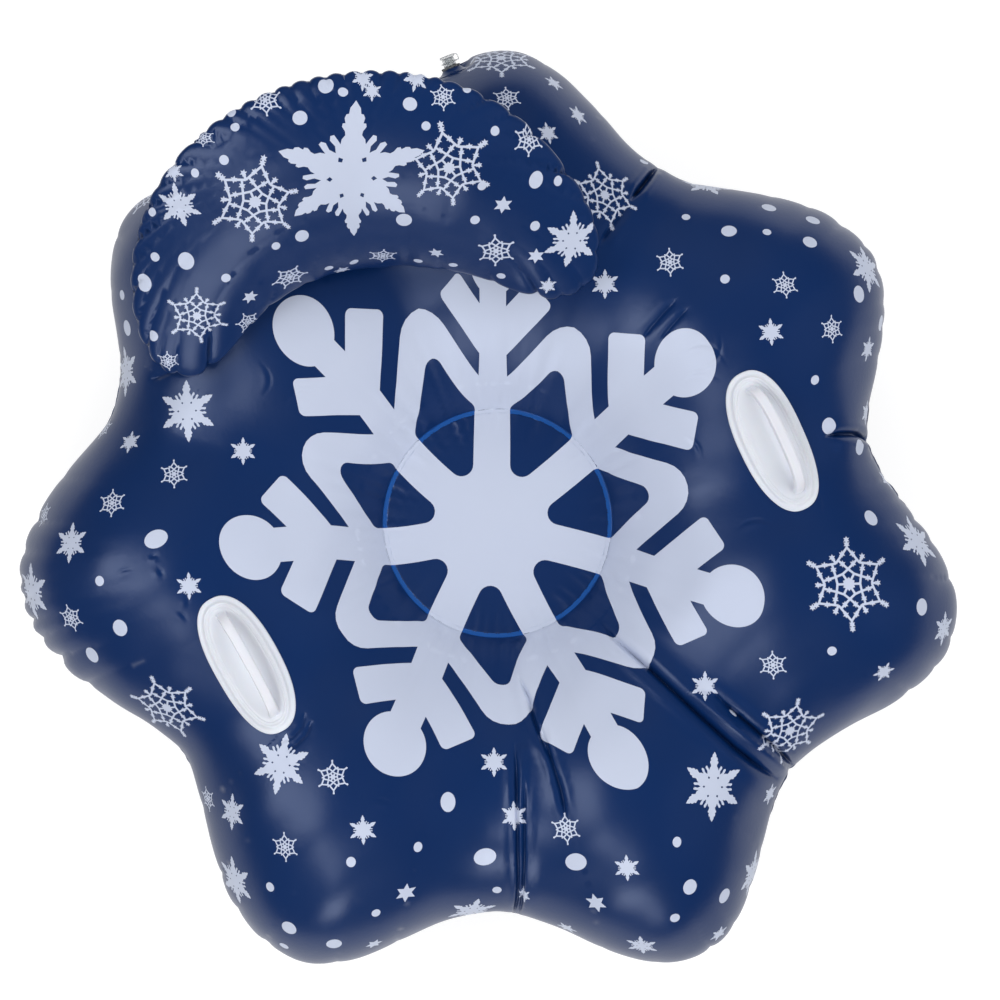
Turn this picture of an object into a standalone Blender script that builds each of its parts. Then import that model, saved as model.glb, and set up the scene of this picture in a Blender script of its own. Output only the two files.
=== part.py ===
# Inflatable snow sled: a seven-lobed air tube around a welded seat disc, with two moulded
# grab handles, a crescent backrest that has its own air chamber, and two push-in valves.
# Metres, +Z up. The origin is the centre of the seat disc's top face, the front is -Y and
# the backrest is at +Y.

import math

import bmesh
import bpy
import numpy as np
from mathutils import Matrix, Vector
from mathutils.bvhtree import BVHTree

# Film
film = 0.0005
gap = 0.0003
flange_width = 0.008

# Tube
lobe_count = 7
lobe_reach = 0.504
valley_reach = 0.411
lobe_fullness = 1.65
lobe_reach_shares = (0.990, 0.975, 0.960, 0.985, 1.0, 1.0, 1.0)
lobe_turns = (0.9, 1.0, -1.0, 0.6, 0.0, -3.2, 1.3)
seat_weld_radius = 0.120
tube_height = 0.236
seat_patch_radius = 0.158
seat_patch_slope_share = 1.9
ground_flat_depth = 0.0005
ground_flat_length = 0.016
row_shares = (0.0, 0.17, 0.38, 0.80, 0.93, 0.985, 1.0)
ground_flat_step_share = 0.06
lobe_step_shares = (0.35, 0.68)

# Handles
handle_length = 0.1525
handle_width = 0.068
handle_squareness = 2.4
handle_pad_thickness = 0.0015
handle_rim_height = 0.0035
handle_rim_place_share = 0.80
handle_rim_width = 0.005
handle_dish_share = 0.35
handle_steps = 32
handle_reach = 0.2915
handle_angle = {"left": 185.3, "right": -7.4}
handle_turn = {"left": 3.5, "right": 1.9}
grip_length = 0.114
grip_height = 0.026
grip_width = 0.013
grip_thickness = 0.006
grip_bow = {"left": 0.005, "right": 0.009}
grip_squareness = 3.0
grip_path_points = 21
grip_section_points = 12

# Backrest
backrest_inset = 0.323
backrest_centre_angle = 100.2
backrest_axis_angle = 75.9
backrest_arc_radius = 0.2053
backrest_half_span_angle = 71.0
backrest_half_width = 0.112
backrest_end_half_width = 0.068
backrest_half_depth = 0.055
backrest_roundness = 0.6
backrest_end_squareness = 0.8
backrest_tilt = 40.0
backrest_end_tilt = 8.0
backrest_rest_clearance = 0.002
backrest_valley_sink = 0.018
backrest_valley_share = 0.50
backrest_tip_sink = 0.010
backrest_tip_fullness = 16
backrest_ring_shares = (0.30, 0.55, 0.75, 0.90, 0.975, 1.0)
backrest_steps = 40
backrest_low_samples = 41
tab_width = 0.040
tab_lap = 0.030
tab_thickness = 0.001

# Valves
valve_ring_radius = 0.0095
valve_ring_height = 0.003
valve_stem_radius = 0.0065
valve_bore_radius = 0.004
valve_stem_inside = 0.012
valve_stem_outside = 0.017
valve_running_gap = 0.0004
valve_collar_height = 0.007
valve_collar_wall = 0.0012
valve_collar_base_radius = 0.0135
valve_collar_flange_radius = 0.017
valve_collar_flange_height = 0.0008
valve_cap_radius = 0.008
valve_cap_thickness = 0.0025
valve_pin_length = 0.009
valve_flap_radius = 0.0055
valve_flap_thickness = 0.0006
valve_strap_thickness = 0.0014
valve_strap_wall = 0.0012
valve_strap_width = 0.004
valve_strap_height = 0.0115
valve_segments = 24
main_valve_lobe = 3.13
main_valve_share = 0.99
backrest_valve_along_share = 0.35
backrest_valve_across_share = 0.15

# Mesh
section_steps = 2000
smooth_angle = 40.0
merge_distance = 0.00001

# Sizes that follow from the ones above
seat_weld_to_rim = lobe_reach - flange_width - seat_weld_radius
backrest_centre_reach = lobe_reach - backrest_inset
mid_z = -(1.5 * film + gap)
seat_stack = film + gap
rim_stack = (film + gap) / 2
crown_rise = tube_height / 2 - film
valve_hole_radius = valve_ring_radius + valve_running_gap


# The meridian of an inflated ring of film that can't stretch and carries no hoop tension:
# the sine of its slope falls with the square of the radius, and both edges are level.
def inflated_section(inner, outer):
    turn = np.linspace(0.0, math.pi, section_steps)
    radius = inner + (outer - inner) * (1 - np.cos(turn)) / 2
    middle = (radius[1:] + radius[:-1]) / 2
    low = inner
    high = math.sqrt((inner * inner + outer * outer) / 2)
    for _ in range(50):
        crest = (low + high) / 2
        sine = np.clip((crest**2 - middle**2) / (outer**2 - crest**2), -0.9999, 0.9999)
        rise = np.concatenate([[0.0], np.cumsum(sine / np.sqrt(1 - sine**2) * np.diff(radius))])
        if rise[-1] < 0:
            low = crest
        else:
            high = crest
    share = (radius - inner) / (outer - inner)
    return share, np.clip(rise / rise.max(), 0.0, 1.0), (crest - inner) / (outer - inner)


section_share, section_height, crest_share = inflated_section(
    seat_weld_radius, seat_weld_radius + seat_weld_to_rim
)
crown_stack = seat_stack + (rim_stack - seat_stack) * crest_share
ground_level = crown_stack + crown_rise - ground_flat_depth


# A place round the tube is counted in lobes, from the front lobe anticlockwise: a whole
# number is the middle of a lobe and a half is the valley after it.
def rim_radius(place):
    nearest = round(place)
    wave = abs(math.cos(math.pi * (place - nearest))) ** lobe_fullness
    reach = lobe_reach * lobe_reach_shares[nearest % lobe_count]
    return valley_reach + (reach - valley_reach) * wave - flange_width


# The value of a list with one entry for each lobe, blended between the lobes.
def between_lobes(values, place):
    before = math.floor(place)
    share = place - before
    return values[before % lobe_count] * (1 - share) + values[(before + 1) % lobe_count] * share


def place_angle(place):
    turn = math.radians(between_lobes(lobe_turns, place))
    return 2 * math.pi * place / lobe_count - math.pi / 2 + turn


# A point of the tube's film: place round the tube, share of the way from the seat weld to
# the rim weld, side 1 for the top sheet and -1 for the bottom sheet.
def tube_point(place, share, side):
    span = rim_radius(place) - seat_weld_radius
    radius = seat_weld_radius + span * share
    lobe_span = lobe_reach * between_lobes(lobe_reach_shares, place) - flange_width - seat_weld_radius
    rise = crown_rise * span / lobe_span * float(np.interp(share, section_share, section_height))
    base = seat_stack + (rim_stack - seat_stack) * share
    if side < 0:
        rise = min(rise, ground_level - base)
    angle = place_angle(place)
    return Vector((radius * math.cos(angle), radius * math.sin(angle), mid_z + side * (base + rise)))


def tube_places():
    near = tuple(step / 2 for step in (ground_flat_step_share,) + lobe_step_shares)
    steps = (0.0,) + near + (0.5,) + tuple(1 - step for step in reversed(near))
    return [lobe + step for lobe in range(lobe_count) for step in steps]


def tube_rows():
    half_flat = ground_flat_length / 2 / seat_weld_to_rim
    return sorted(row_shares + (crest_share - half_flat, crest_share + half_flat))


def tube_rings(side):
    places = tube_places()
    rings = [[tube_point(place, share, side) for place in places] for share in tube_rows()]
    rim = []
    for place in places:
        point = tube_point(place, 1.0, side)
        outward = Vector((math.cos(place_angle(place)), math.sin(place_angle(place)), 0.0))
        rim.append(point + outward * flange_width)
    return rings, rim


def material(name, colour, roughness, transmission=0.0):
    made = bpy.data.materials.new(name)
    made.use_nodes = True
    shader = made.node_tree.nodes["Principled BSDF"]
    shader.inputs["Base Color"].default_value = (*colour, 1.0)
    shader.inputs["Roughness"].default_value = roughness
    shader.inputs["Metallic"].default_value = 0.0
    shader.inputs["Transmission Weight"].default_value = transmission
    made.diffuse_color = (*colour, 1.0)
    return made


def collection(name):
    made = bpy.data.collections.new(name)
    bpy.context.scene.collection.children.link(made)
    return made


def new_object(name, mesh, group, skin=None):
    obj = bpy.data.objects.new(name, mesh)
    group.objects.link(obj)
    if skin:
        mesh.materials.append(skin)
    return obj


def as_cutter(obj):
    obj.hide_render = True
    obj.display_type = "WIRE"
    return obj


def finish_smooth(mesh):
    mesh.shade_smooth()
    mesh.set_sharp_from_angle(angle=math.radians(smooth_angle))


def close_seams(mesh):
    shape = bmesh.new()
    shape.from_mesh(mesh)
    bmesh.ops.remove_doubles(shape, verts=shape.verts, dist=merge_distance)
    bmesh.ops.recalc_face_normals(shape, faces=shape.faces)
    shape.to_mesh(mesh)
    shape.free()


# Lofts closed rings of points, with a centre point at either end where one is given.
def loft(name, rings, first=None, last=None):
    shape = bmesh.new()
    rows = [[shape.verts.new(point) for point in ring] for ring in rings]
    count = len(rows[0])
    for row, following in zip(rows, rows[1:]):
        for i in range(count):
            j = (i + 1) % count
            shape.faces.new((row[i], row[j], following[j], following[i]))
    for end, row in ((first, rows[0]), (last, rows[-1])):
        if end is None:
            continue
        centre = shape.verts.new(end)
        for i in range(count):
            shape.faces.new((row[i], centre, row[(i + 1) % count]))
    bmesh.ops.triangulate(shape, faces=shape.faces, quad_method="SHORT_EDGE")
    bmesh.ops.recalc_face_normals(shape, faces=shape.faces)
    mesh = bpy.data.meshes.new(name)
    shape.to_mesh(mesh)
    shape.free()
    return mesh


def solidify(obj, thickness):
    shell = obj.modifiers.new("film", "SOLIDIFY")
    shell.thickness = thickness
    shell.offset = 0.0
    return obj


def cut(obj, cutter, operation="DIFFERENCE"):
    change = obj.modifiers.new(cutter.name, "BOOLEAN")
    change.operation = operation
    change.object = cutter


def baked(obj):
    graph = bpy.context.evaluated_depsgraph_get()
    return bpy.data.meshes.new_from_object(obj.evaluated_get(graph))


# Moves each point of a closed surface outward, so that what it cuts clears the film.
def raise_surface(mesh, distance):
    shape = bmesh.new()
    shape.from_mesh(mesh)
    shape.normal_update()
    moved = [v.co + v.normal * distance * v.calc_shell_factor() for v in shape.verts]
    for v, place in zip(shape.verts, moved):
        v.co = place
    shape.to_mesh(mesh)
    shape.free()


# A turned solid about the local Z axis from (radius, height) pairs, outer side first and
# from the top down.
def turned(name, profile, group, skin):
    shape = bmesh.new()
    verts = [shape.verts.new((radius, 0.0, height)) for radius, height in profile]
    closed = profile[0][0] > 0 and profile[-1][0] > 0
    pairs = list(zip(verts, verts[1:]))
    if closed:
        pairs.append((verts[-1], verts[0]))
    for a, b in pairs:
        shape.edges.new((a, b))
    mesh = bpy.data.meshes.new(name)
    shape.to_mesh(mesh)
    shape.free()
    obj = new_object(name, mesh, group, skin)
    screw = obj.modifiers.new("turn", "SCREW")
    screw.angle = 2 * math.pi
    screw.steps = valve_segments
    screw.render_steps = valve_segments
    screw.use_merge_vertices = True
    screw.merge_threshold = merge_distance
    screw.use_smooth_shade = True
    return obj


def make_tube(parts, cutters, navy):
    top_rings, top_rim = tube_rings(1)
    low_rings, low_rim = tube_rings(-1)
    top_centre = Vector((0.0, 0.0, mid_z + seat_stack))
    low_centre = Vector((0.0, 0.0, mid_z - seat_stack))

    top_mesh = loft("tube_top_sheet", top_rings + [top_rim], first=top_centre)
    low_mesh = loft("tube_bottom_sheet", low_rings + [low_rim], first=low_centre)
    top = solidify(new_object("tube_top_sheet", top_mesh, parts, navy), film)
    low = solidify(new_object("tube_bottom_sheet", low_mesh, parts, navy), film)
    finish_smooth(top.data)
    finish_smooth(low.data)

    envelope_rings = top_rings + list(reversed(low_rings))
    envelope_mesh = loft("tube_envelope", envelope_rings, first=top_centre, last=low_centre)
    envelope = new_object("tube_envelope", envelope_mesh, cutters)
    raise_surface(envelope.data, film / 2 + gap)
    as_cutter(envelope)

    patch_rim = []
    for weld, slope in zip(top_rings[0], top_rings[1]):
        reach = (seat_patch_radius - weld.xy.length) / (slope.xy.length - weld.xy.length)
        patch_rim.append(weld.lerp(slope, reach))
    drop = Vector((0.0, 0.0, film + gap))
    slope_drop = drop * seat_patch_slope_share
    patch_rings = [[point - drop for point in top_rings[0]], [point - slope_drop for point in patch_rim]]
    patch_mesh = loft("seat_reinforcement_disc", patch_rings, first=top_centre - drop)
    patch = solidify(new_object("seat_reinforcement_disc", patch_mesh, parts, navy), film)
    finish_smooth(patch.data)
    return top, envelope


class Surface:
    def __init__(self, obj):
        graph = bpy.context.evaluated_depsgraph_get()
        self.tree = BVHTree.FromObject(obj, graph)

    def height(self, x, y):
        hit = self.tree.ray_cast(Vector((x, y, lobe_reach)), Vector((0.0, 0.0, -1.0)))[0]
        return hit.z


def signed_power(value, power):
    return math.copysign(abs(value) ** power, value)


# Height of the pad's top above the film along the way from its middle to its edge.
def pad_height(share):
    rim = handle_rim_place_share
    half = handle_rim_width / handle_width
    return handle_pad_thickness + handle_rim_height * max(0.0, 1 - abs(share - rim) / (2 * half))


def handle_place(side):
    angle = math.radians(handle_angle[side])
    centre = Vector((handle_reach * math.cos(angle), handle_reach * math.sin(angle)))
    return centre, Matrix.Rotation(math.radians(handle_turn[side]), 2)


def pad_solid(name, side, surface, group, lift, skin=None):
    centre, turn = handle_place(side)
    rim_step = 2 * handle_rim_width / handle_width
    rim = handle_rim_place_share
    shares = (handle_dish_share, rim - rim_step, rim, rim + rim_step * (1 - rim), 1.0)
    depth = 4 * handle_pad_thickness

    def ring(share, rise):
        points = []
        for i in range(handle_steps):
            around = 2 * math.pi * i / handle_steps
            across = handle_width / 2 * share * signed_power(math.cos(around), 2 / handle_squareness)
            along = handle_length / 2 * share * signed_power(math.sin(around), 2 / handle_squareness)
            plan = centre + turn @ Vector((across, along))
            points.append(Vector((*plan, surface.height(*plan) + rise)))
        return points

    tops = [ring(share, pad_height(share) + gap + lift) for share in shares]
    below = [ring(1.0, -depth), ring(shares[0], -depth)]
    middle = surface.height(*centre)
    first = Vector((*centre, middle + pad_height(0.0) + gap + lift))
    last = Vector((*centre, middle - depth))
    return new_object(name, loft(name, tops + below, first=first, last=last), group, skin)


def make_handle(side, surface, envelope, parts, cutters, white):
    pad = pad_solid(side + "_handle_base", side, surface, parts, 0.0, white)
    cut(pad, envelope)
    finish_smooth(pad.data)
    pad_cutter = as_cutter(pad_solid(side + "_pad_envelope", side, surface, cutters, gap))

    centre, turn = handle_place(side)
    curve = bpy.data.curves.new(side + "_grip_path", "CURVE")
    curve.dimensions = "3D"
    spline = curve.splines.new("POLY")
    spline.points.add(grip_path_points - 1)
    feet = [centre + turn @ Vector((0.0, end * grip_length / 2)) for end in (-1, 1)]
    front, rear = [surface.height(*foot) + gap for foot in feet]
    for i in range(grip_path_points):
        around = math.pi * i / (grip_path_points - 1)
        along = -signed_power(math.cos(around), 2 / grip_squareness)
        rise = math.sin(around) ** (2 / grip_squareness)
        plan = centre + turn @ Vector((grip_bow[side] * rise, grip_length / 2 * along))
        height = front + (rear - front) * (along + 1) / 2 + grip_height * rise
        spline.points[i].co = (*plan, height, 1.0)
    section = bpy.data.curves.new(side + "_grip_section", "CURVE")
    section.dimensions = "2D"
    oval = section.splines.new("POLY")
    oval.points.add(grip_section_points - 1)
    for i in range(grip_section_points):
        around = 2 * math.pi * i / grip_section_points
        place = (grip_width / 2 * math.cos(around), grip_thickness / 2 * math.sin(around), 0.0, 1.0)
        oval.points[i].co = place
    oval.use_cyclic_u = True
    section_object = bpy.data.objects.new(side + "_grip_section", section)
    cutters.objects.link(section_object)
    section_object.hide_render = True
    curve.bevel_mode = "OBJECT"
    curve.bevel_object = section_object
    curve.use_fill_caps = True
    curve.twist_mode = "Z_UP"
    path = bpy.data.objects.new(side + "_grip_path", curve)
    parts.objects.link(path)
    mesh = baked(path)
    bpy.data.objects.remove(path)
    close_seams(mesh)
    finish_smooth(mesh)
    grip = new_object(side + "_handle_grip", mesh, parts, white)
    cut(grip, pad_cutter)


# The backrest's own frame: its origin is the centre of the crescent's arc, +Y points to
# the middle of the crescent.
def backrest_frame():
    angle = math.radians(backrest_centre_angle)
    place = Vector((backrest_centre_reach * math.cos(angle), backrest_centre_reach * math.sin(angle), 0.0))
    turn = math.radians(backrest_axis_angle) - math.pi / 2
    return Matrix.Translation(place) @ Matrix.Rotation(turn, 4, "Z")


backrest_half_arc = backrest_arc_radius * math.radians(backrest_half_span_angle)


def half_width_at(along):
    share = min(1.0, abs(along) / backrest_half_arc)
    return backrest_half_width + (backrest_end_half_width - backrest_half_width) * share**2


def tilt_at(along):
    share = min(1.0, abs(along) / backrest_half_arc)
    return math.radians(backrest_tilt + (backrest_end_tilt - backrest_tilt) * share**2)


def depth_at(share, along):
    swell = max(0.0, 1 - share**2) ** backrest_roundness
    return backrest_half_depth * swell * half_width_at(along) / backrest_half_width


# Height of the backrest's middle line, so that its lowest point lies just over the tube.
def height_at(along):
    tilt = tilt_at(along)
    half = half_width_at(along)
    shares = np.linspace(-1.0, 1.0, backrest_low_samples)
    end_share = min(1.0, abs(along) / backrest_half_arc)
    lows = []
    for share in shares:
        reach = min(1.0, math.hypot(share, end_share))
        lows.append(share * half * math.sin(tilt) - depth_at(reach, along) * math.cos(tilt))
    lowest = min(min(lows), -(half + flange_width) * math.sin(tilt))
    floor = mid_z + seat_stack + crown_rise + film + backrest_rest_clearance
    sink = backrest_valley_sink * max(0.0, 1 - (end_share / backrest_valley_share) ** 2) ** 2
    sink += backrest_tip_sink * end_share**backrest_tip_fullness
    return floor - sink - lowest


# A point of the backrest's film: distances along the crescent and across it, and the
# height off its middle surface.
def backrest_point(along, across, off):
    turn = along / backrest_arc_radius
    tilt = tilt_at(along)
    outward = Vector((math.sin(turn), math.cos(turn), 0.0))
    centre = outward * backrest_arc_radius + Vector((0.0, 0.0, height_at(along)))
    up_slope = outward * math.cos(tilt) + Vector((0.0, 0.0, math.sin(tilt)))
    normal = Vector((0.0, 0.0, math.cos(tilt))) - outward * math.sin(tilt)
    return backrest_frame() @ (centre + up_slope * across + normal * off)


def backrest_plan(share, around):
    along = backrest_half_arc * share * signed_power(math.cos(around), backrest_end_squareness)
    across = half_width_at(along) * share * signed_power(math.sin(around), backrest_end_squareness)
    return along, across


def backrest_flange_plan(around):
    step = math.pi / backrest_steps
    before = Vector(backrest_plan(1.0, around - step))
    after = Vector(backrest_plan(1.0, around + step))
    run = (after - before).normalized()
    along, across = backrest_plan(1.0, around)
    return along + run.y * flange_width, across - run.x * flange_width


def backrest_rings(side):
    turns = [2 * math.pi * (i + 0.5) / backrest_steps for i in range(backrest_steps)]
    rings = []
    for share in backrest_ring_shares:
        ring = []
        for around in turns:
            along, across = backrest_plan(share, around)
            ring.append(backrest_point(along, across, side * (rim_stack + depth_at(share, along))))
        rings.append(ring)
    rim = []
    for around in turns:
        rim.append(backrest_point(*backrest_flange_plan(around), side * rim_stack))
    centre = backrest_point(0.0, 0.0, side * (rim_stack + depth_at(0.0, 0.0)))
    return rings, rim, centre


# The line that the backrest folds about: just ahead of its foremost points, one on each
# wing, where the tabs hold it.
def hinge_line():
    frame = backrest_frame()
    inverse = frame.inverted()
    ends = []
    for side in (-1, 1):
        best = None
        for i in range(backrest_steps):
            around = 2 * math.pi * (i + 0.5) / backrest_steps
            point = inverse @ backrest_point(*backrest_flange_plan(around), 0.0)
            if point.x * side > 0 and (best is None or point.y < best.y):
                best = point
        ends.append(frame @ (best - Vector((0.0, gap + tab_thickness / 2, 0.0))))
    return ends


def make_backrest(parts, cutters, navy):
    shells = []
    for name, side in (("backrest_front_sheet", 1), ("backrest_rear_sheet", -1)):
        rings, rim, centre = backrest_rings(side)
        sheet = new_object(name, loft(name, rings + [rim], first=centre), parts, navy)
        solidify(sheet, film)
        finish_smooth(sheet.data)
        shells.append(sheet)
    front_rings, _, front_centre = backrest_rings(1)
    rear_rings, _, rear_centre = backrest_rings(-1)
    rings = front_rings + list(reversed(rear_rings))
    envelope_mesh = loft("backrest_envelope", rings, first=front_centre, last=rear_centre)
    envelope = new_object("backrest_envelope", envelope_mesh, cutters)
    raise_surface(envelope.data, film / 2 + gap)
    as_cutter(envelope)
    return shells, envelope


# A strip of film that is welded to the tube under the backrest's wing and stands up as a
# lip at its front, where the wing's edge is held.
def make_tab(side, end, surface, parts, navy):
    frame = backrest_frame().to_3x3()
    forward = frame @ Vector((0.0, -1.0, 0.0))
    sideways = frame @ Vector((1.0, 0.0, 0.0))
    seat = (film + tab_thickness) / 2 + 2 * gap
    lip_steps = 2
    lap_steps = 5
    columns = 7
    shape = bmesh.new()
    grid = []
    for i in range(lip_steps + lap_steps):
        back = tab_lap * max(0, i - lip_steps) / (lap_steps - 1)
        rise = max(0.0, 1 - i / lip_steps)
        row = []
        for j in range(columns):
            point = end - forward * back + sideways * tab_width * (j / (columns - 1) - 0.5)
            ground = surface.height(point.x, point.y) + seat
            row.append(shape.verts.new((point.x, point.y, ground + (end.z - ground) * rise)))
        grid.append(row)
    for row, following in zip(grid, grid[1:]):
        for j in range(columns - 1):
            shape.faces.new((row[j], row[j + 1], following[j + 1], following[j]))
    bmesh.ops.recalc_face_normals(shape, faces=shape.faces)
    name = side + "_backrest_tab"
    mesh = bpy.data.meshes.new(name)
    shape.to_mesh(mesh)
    shape.free()
    solidify(new_object(name, mesh, parts, navy), tab_thickness)


# A valve in its own frame: the origin lies on the film and +Z points out of the chamber.
def make_valve(prefix, frame, sheet, envelope, parts, cutters, navy, clear):
    ring_top = valve_collar_height + valve_ring_height / 2
    ring_low = ring_top - valve_ring_height
    below = -valve_collar_height

    hole = turned(
        prefix + "_valve_hole",
        [
            (0.0, valve_stem_inside),
            (valve_hole_radius, valve_stem_inside),
            (valve_hole_radius, -valve_stem_inside),
            (0.0, -valve_stem_inside),
        ],
        cutters, None,
    )
    collar = turned(
        prefix + "_valve_collar",
        [
            (valve_hole_radius + valve_collar_wall, valve_collar_height),
            (valve_collar_base_radius, 2 * valve_collar_flange_height),
            (valve_collar_flange_radius, valve_collar_flange_height),
            (valve_collar_flange_radius, below),
            (valve_hole_radius, below),
            (valve_hole_radius, valve_collar_height),
        ],
        parts, navy,
    )
    stem = turned(
        prefix + "_valve_stem",
        [
            (valve_stem_radius, valve_stem_outside),
            (valve_stem_radius, ring_top),
            (valve_ring_radius, ring_top),
            (valve_ring_radius, ring_low),
            (valve_stem_radius, ring_low),
            (valve_stem_radius, -valve_stem_inside),
            (valve_bore_radius, -valve_stem_inside),
            (valve_bore_radius, valve_stem_outside),
        ],
        parts, clear,
    )
    cap_low = valve_stem_outside + gap
    pin_radius = valve_bore_radius - valve_running_gap
    plug = turned(
        prefix + "_valve_plug",
        [
            (0.0, cap_low + valve_cap_thickness),
            (valve_cap_radius, cap_low + valve_cap_thickness),
            (valve_cap_radius, cap_low),
            (pin_radius, cap_low),
            (pin_radius, cap_low - valve_pin_length),
            (0.0, cap_low - valve_pin_length),
        ],
        parts, clear,
    )
    neck = valve_stem_radius + valve_running_gap
    strap = turned(
        prefix + "_valve_strap",
        [
            (neck + valve_strap_thickness, valve_strap_height + valve_strap_thickness),
            (neck + valve_strap_thickness, valve_strap_height),
            (neck, valve_strap_height),
            (neck, valve_strap_height + valve_strap_thickness),
        ],
        parts, clear,
    )
    arm = strap_arm(prefix, neck, cap_low, cutters)
    cut(strap, arm, "UNION")

    shape = bmesh.new()
    bmesh.ops.create_cone(
        shape, cap_ends=True, segments=valve_segments, radius1=valve_flap_radius, radius2=valve_flap_radius,
        depth=valve_flap_thickness,
        matrix=Matrix.Translation((valve_flap_radius, 0.0, -valve_flap_thickness / 2)),
    )
    mesh = bpy.data.meshes.new(prefix + "_valve_flap")
    shape.to_mesh(mesh)
    shape.free()
    flap = new_object(prefix + "_valve_flap", mesh, parts, clear)

    for obj in (hole, collar, stem, plug, strap, arm):
        obj.matrix_world = frame
    flap.matrix_world = frame @ Matrix.Translation((-valve_flap_radius, 0.0, -valve_stem_inside - gap))
    as_cutter(hole)
    bpy.context.view_layer.update()
    cut(collar, envelope)
    cut(sheet, hole)


# The strap's arm, a bent strip from the ring round the stem up to the edge of the cap.
def strap_arm(prefix, neck, cap_low, cutters):
    inner = neck + valve_strap_thickness / 2
    low = valve_strap_height
    high = cap_low + valve_cap_thickness
    wall = valve_strap_thickness
    tip = valve_cap_radius + gap
    far = tip + valve_strap_wall
    outline = [(inner, low), (far, low), (far, high), (tip, high), (tip, low + wall), (inner, low + wall)]
    curve = bpy.data.curves.new(prefix + "_strap_arm", "CURVE")
    curve.dimensions = "2D"
    curve.fill_mode = "BOTH"
    curve.extrude = valve_strap_width / 2
    spline = curve.splines.new("POLY")
    spline.points.add(len(outline) - 1)
    for point, (x, z) in zip(spline.points, outline):
        point.co = (x, z, 0.0, 1.0)
    spline.use_cyclic_u = True
    path = bpy.data.objects.new(prefix + "_strap_path", curve)
    cutters.objects.link(path)
    mesh = baked(path)
    bpy.data.objects.remove(path)
    mesh.transform(Matrix.Rotation(math.pi / 2, 4, "X"))
    close_seams(mesh)
    return as_cutter(new_object(prefix + "_strap_arm", mesh, cutters))


# A frame on the film where a ray from inside the chamber leaves it: +Z points outward and
# +X lies level.
def film_frame(sheet, start, direction):
    tree = Surface(sheet).tree
    reach = lobe_reach + tube_height
    point, normal, _, _ = tree.ray_cast(start + direction.normalized() * reach, -direction.normalized())
    if normal.dot(direction) < 0:
        normal = -normal
    level = normal.cross(Vector((0.0, 0.0, 1.0))).normalized()
    turn = Matrix((level, normal.cross(level), normal)).transposed().to_4x4()
    return Matrix.Translation(point) @ turn


def main_valve_frame(sheet):
    crown = tube_point(main_valve_lobe, crest_share, 1)
    inside = Vector((crown.x, crown.y, mid_z))
    return film_frame(sheet, inside, tube_point(main_valve_lobe, main_valve_share, 1) - inside)


def backrest_valve_frame(sheet):
    along = backrest_half_arc * backrest_valve_along_share
    across = half_width_at(along) * backrest_valve_across_share
    middle = backrest_point(along, across, 0.0)
    return film_frame(sheet, middle, backrest_point(along, across, -backrest_half_depth) - middle)


def main():
    for obj in list(bpy.data.objects):
        bpy.data.objects.remove(obj)
    parts = collection("inflatable_sled")
    cutters = collection("cutters")
    navy = material("navy_vinyl", (0.010, 0.027, 0.105), 0.30)
    white = material("white_moulded_vinyl", (0.80, 0.80, 0.84), 0.45)
    clear = material("clear_vinyl", (0.75, 0.78, 0.80), 0.15, transmission=0.6)

    top, tube_envelope = make_tube(parts, cutters, navy)
    bpy.context.view_layer.update()
    surface = Surface(top)
    for side in ("left", "right"):
        make_handle(side, surface, tube_envelope, parts, cutters, white)
    shells, backrest_envelope = make_backrest(parts, cutters, navy)
    for side, end in zip(("left", "right"), hinge_line()):
        make_tab(side, end, surface, parts, navy)
    rear = shells[1]
    skins = (navy, clear)
    make_valve("main", main_valve_frame(top), top, tube_envelope, parts, cutters, *skins)
    make_valve("backrest", backrest_valve_frame(rear), rear, backrest_envelope, parts, cutters, *skins)


main()
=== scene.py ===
# Inflatable snow sled with a seat disc, two grab handles and a backrest of its own air.
# Metres, +Z up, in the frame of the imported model.
import math

import bmesh
import bpy
import numpy as np
from mathutils import Matrix, Vector
from mathutils.geometry import delaunay_2d_cdt
from mathutils.kdtree import KDTree


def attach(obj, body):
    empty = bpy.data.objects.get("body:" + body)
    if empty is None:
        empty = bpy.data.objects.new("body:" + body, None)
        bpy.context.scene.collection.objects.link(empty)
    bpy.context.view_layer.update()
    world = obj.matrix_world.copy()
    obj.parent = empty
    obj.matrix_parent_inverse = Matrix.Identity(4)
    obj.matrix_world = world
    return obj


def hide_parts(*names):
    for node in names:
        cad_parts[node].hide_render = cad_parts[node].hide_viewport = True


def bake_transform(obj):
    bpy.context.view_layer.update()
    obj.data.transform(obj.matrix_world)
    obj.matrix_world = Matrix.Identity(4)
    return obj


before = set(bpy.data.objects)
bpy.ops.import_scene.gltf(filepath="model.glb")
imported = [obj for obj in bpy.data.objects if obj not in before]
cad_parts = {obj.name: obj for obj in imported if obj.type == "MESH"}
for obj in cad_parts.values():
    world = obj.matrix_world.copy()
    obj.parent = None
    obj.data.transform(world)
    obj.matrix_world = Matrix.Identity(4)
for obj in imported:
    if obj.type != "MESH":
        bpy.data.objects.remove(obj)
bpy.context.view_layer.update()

print("frame loaded")

# Camera: straight down over the seat, turned so that the backrest is at the upper left
cameraSizes = dict(x=0.0123, y=0.0209, height=3.0, turn=-24.1, lens=103.03, sensor=36.0, image=1000)

cameraData = bpy.data.cameras.new("overheadCamera")
cameraData.lens = cameraSizes["lens"]
cameraData.sensor_width = cameraSizes["sensor"]
camera = bpy.data.objects.new("overheadCamera", cameraData)
camera.location = (cameraSizes["x"], cameraSizes["y"], cameraSizes["height"])
camera.rotation_euler = (0.0, 0.0, math.radians(cameraSizes["turn"]))
bpy.context.scene.collection.objects.link(camera)
bpy.context.scene.camera = camera
bpy.context.scene.view_settings.view_transform = "Standard"

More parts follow.
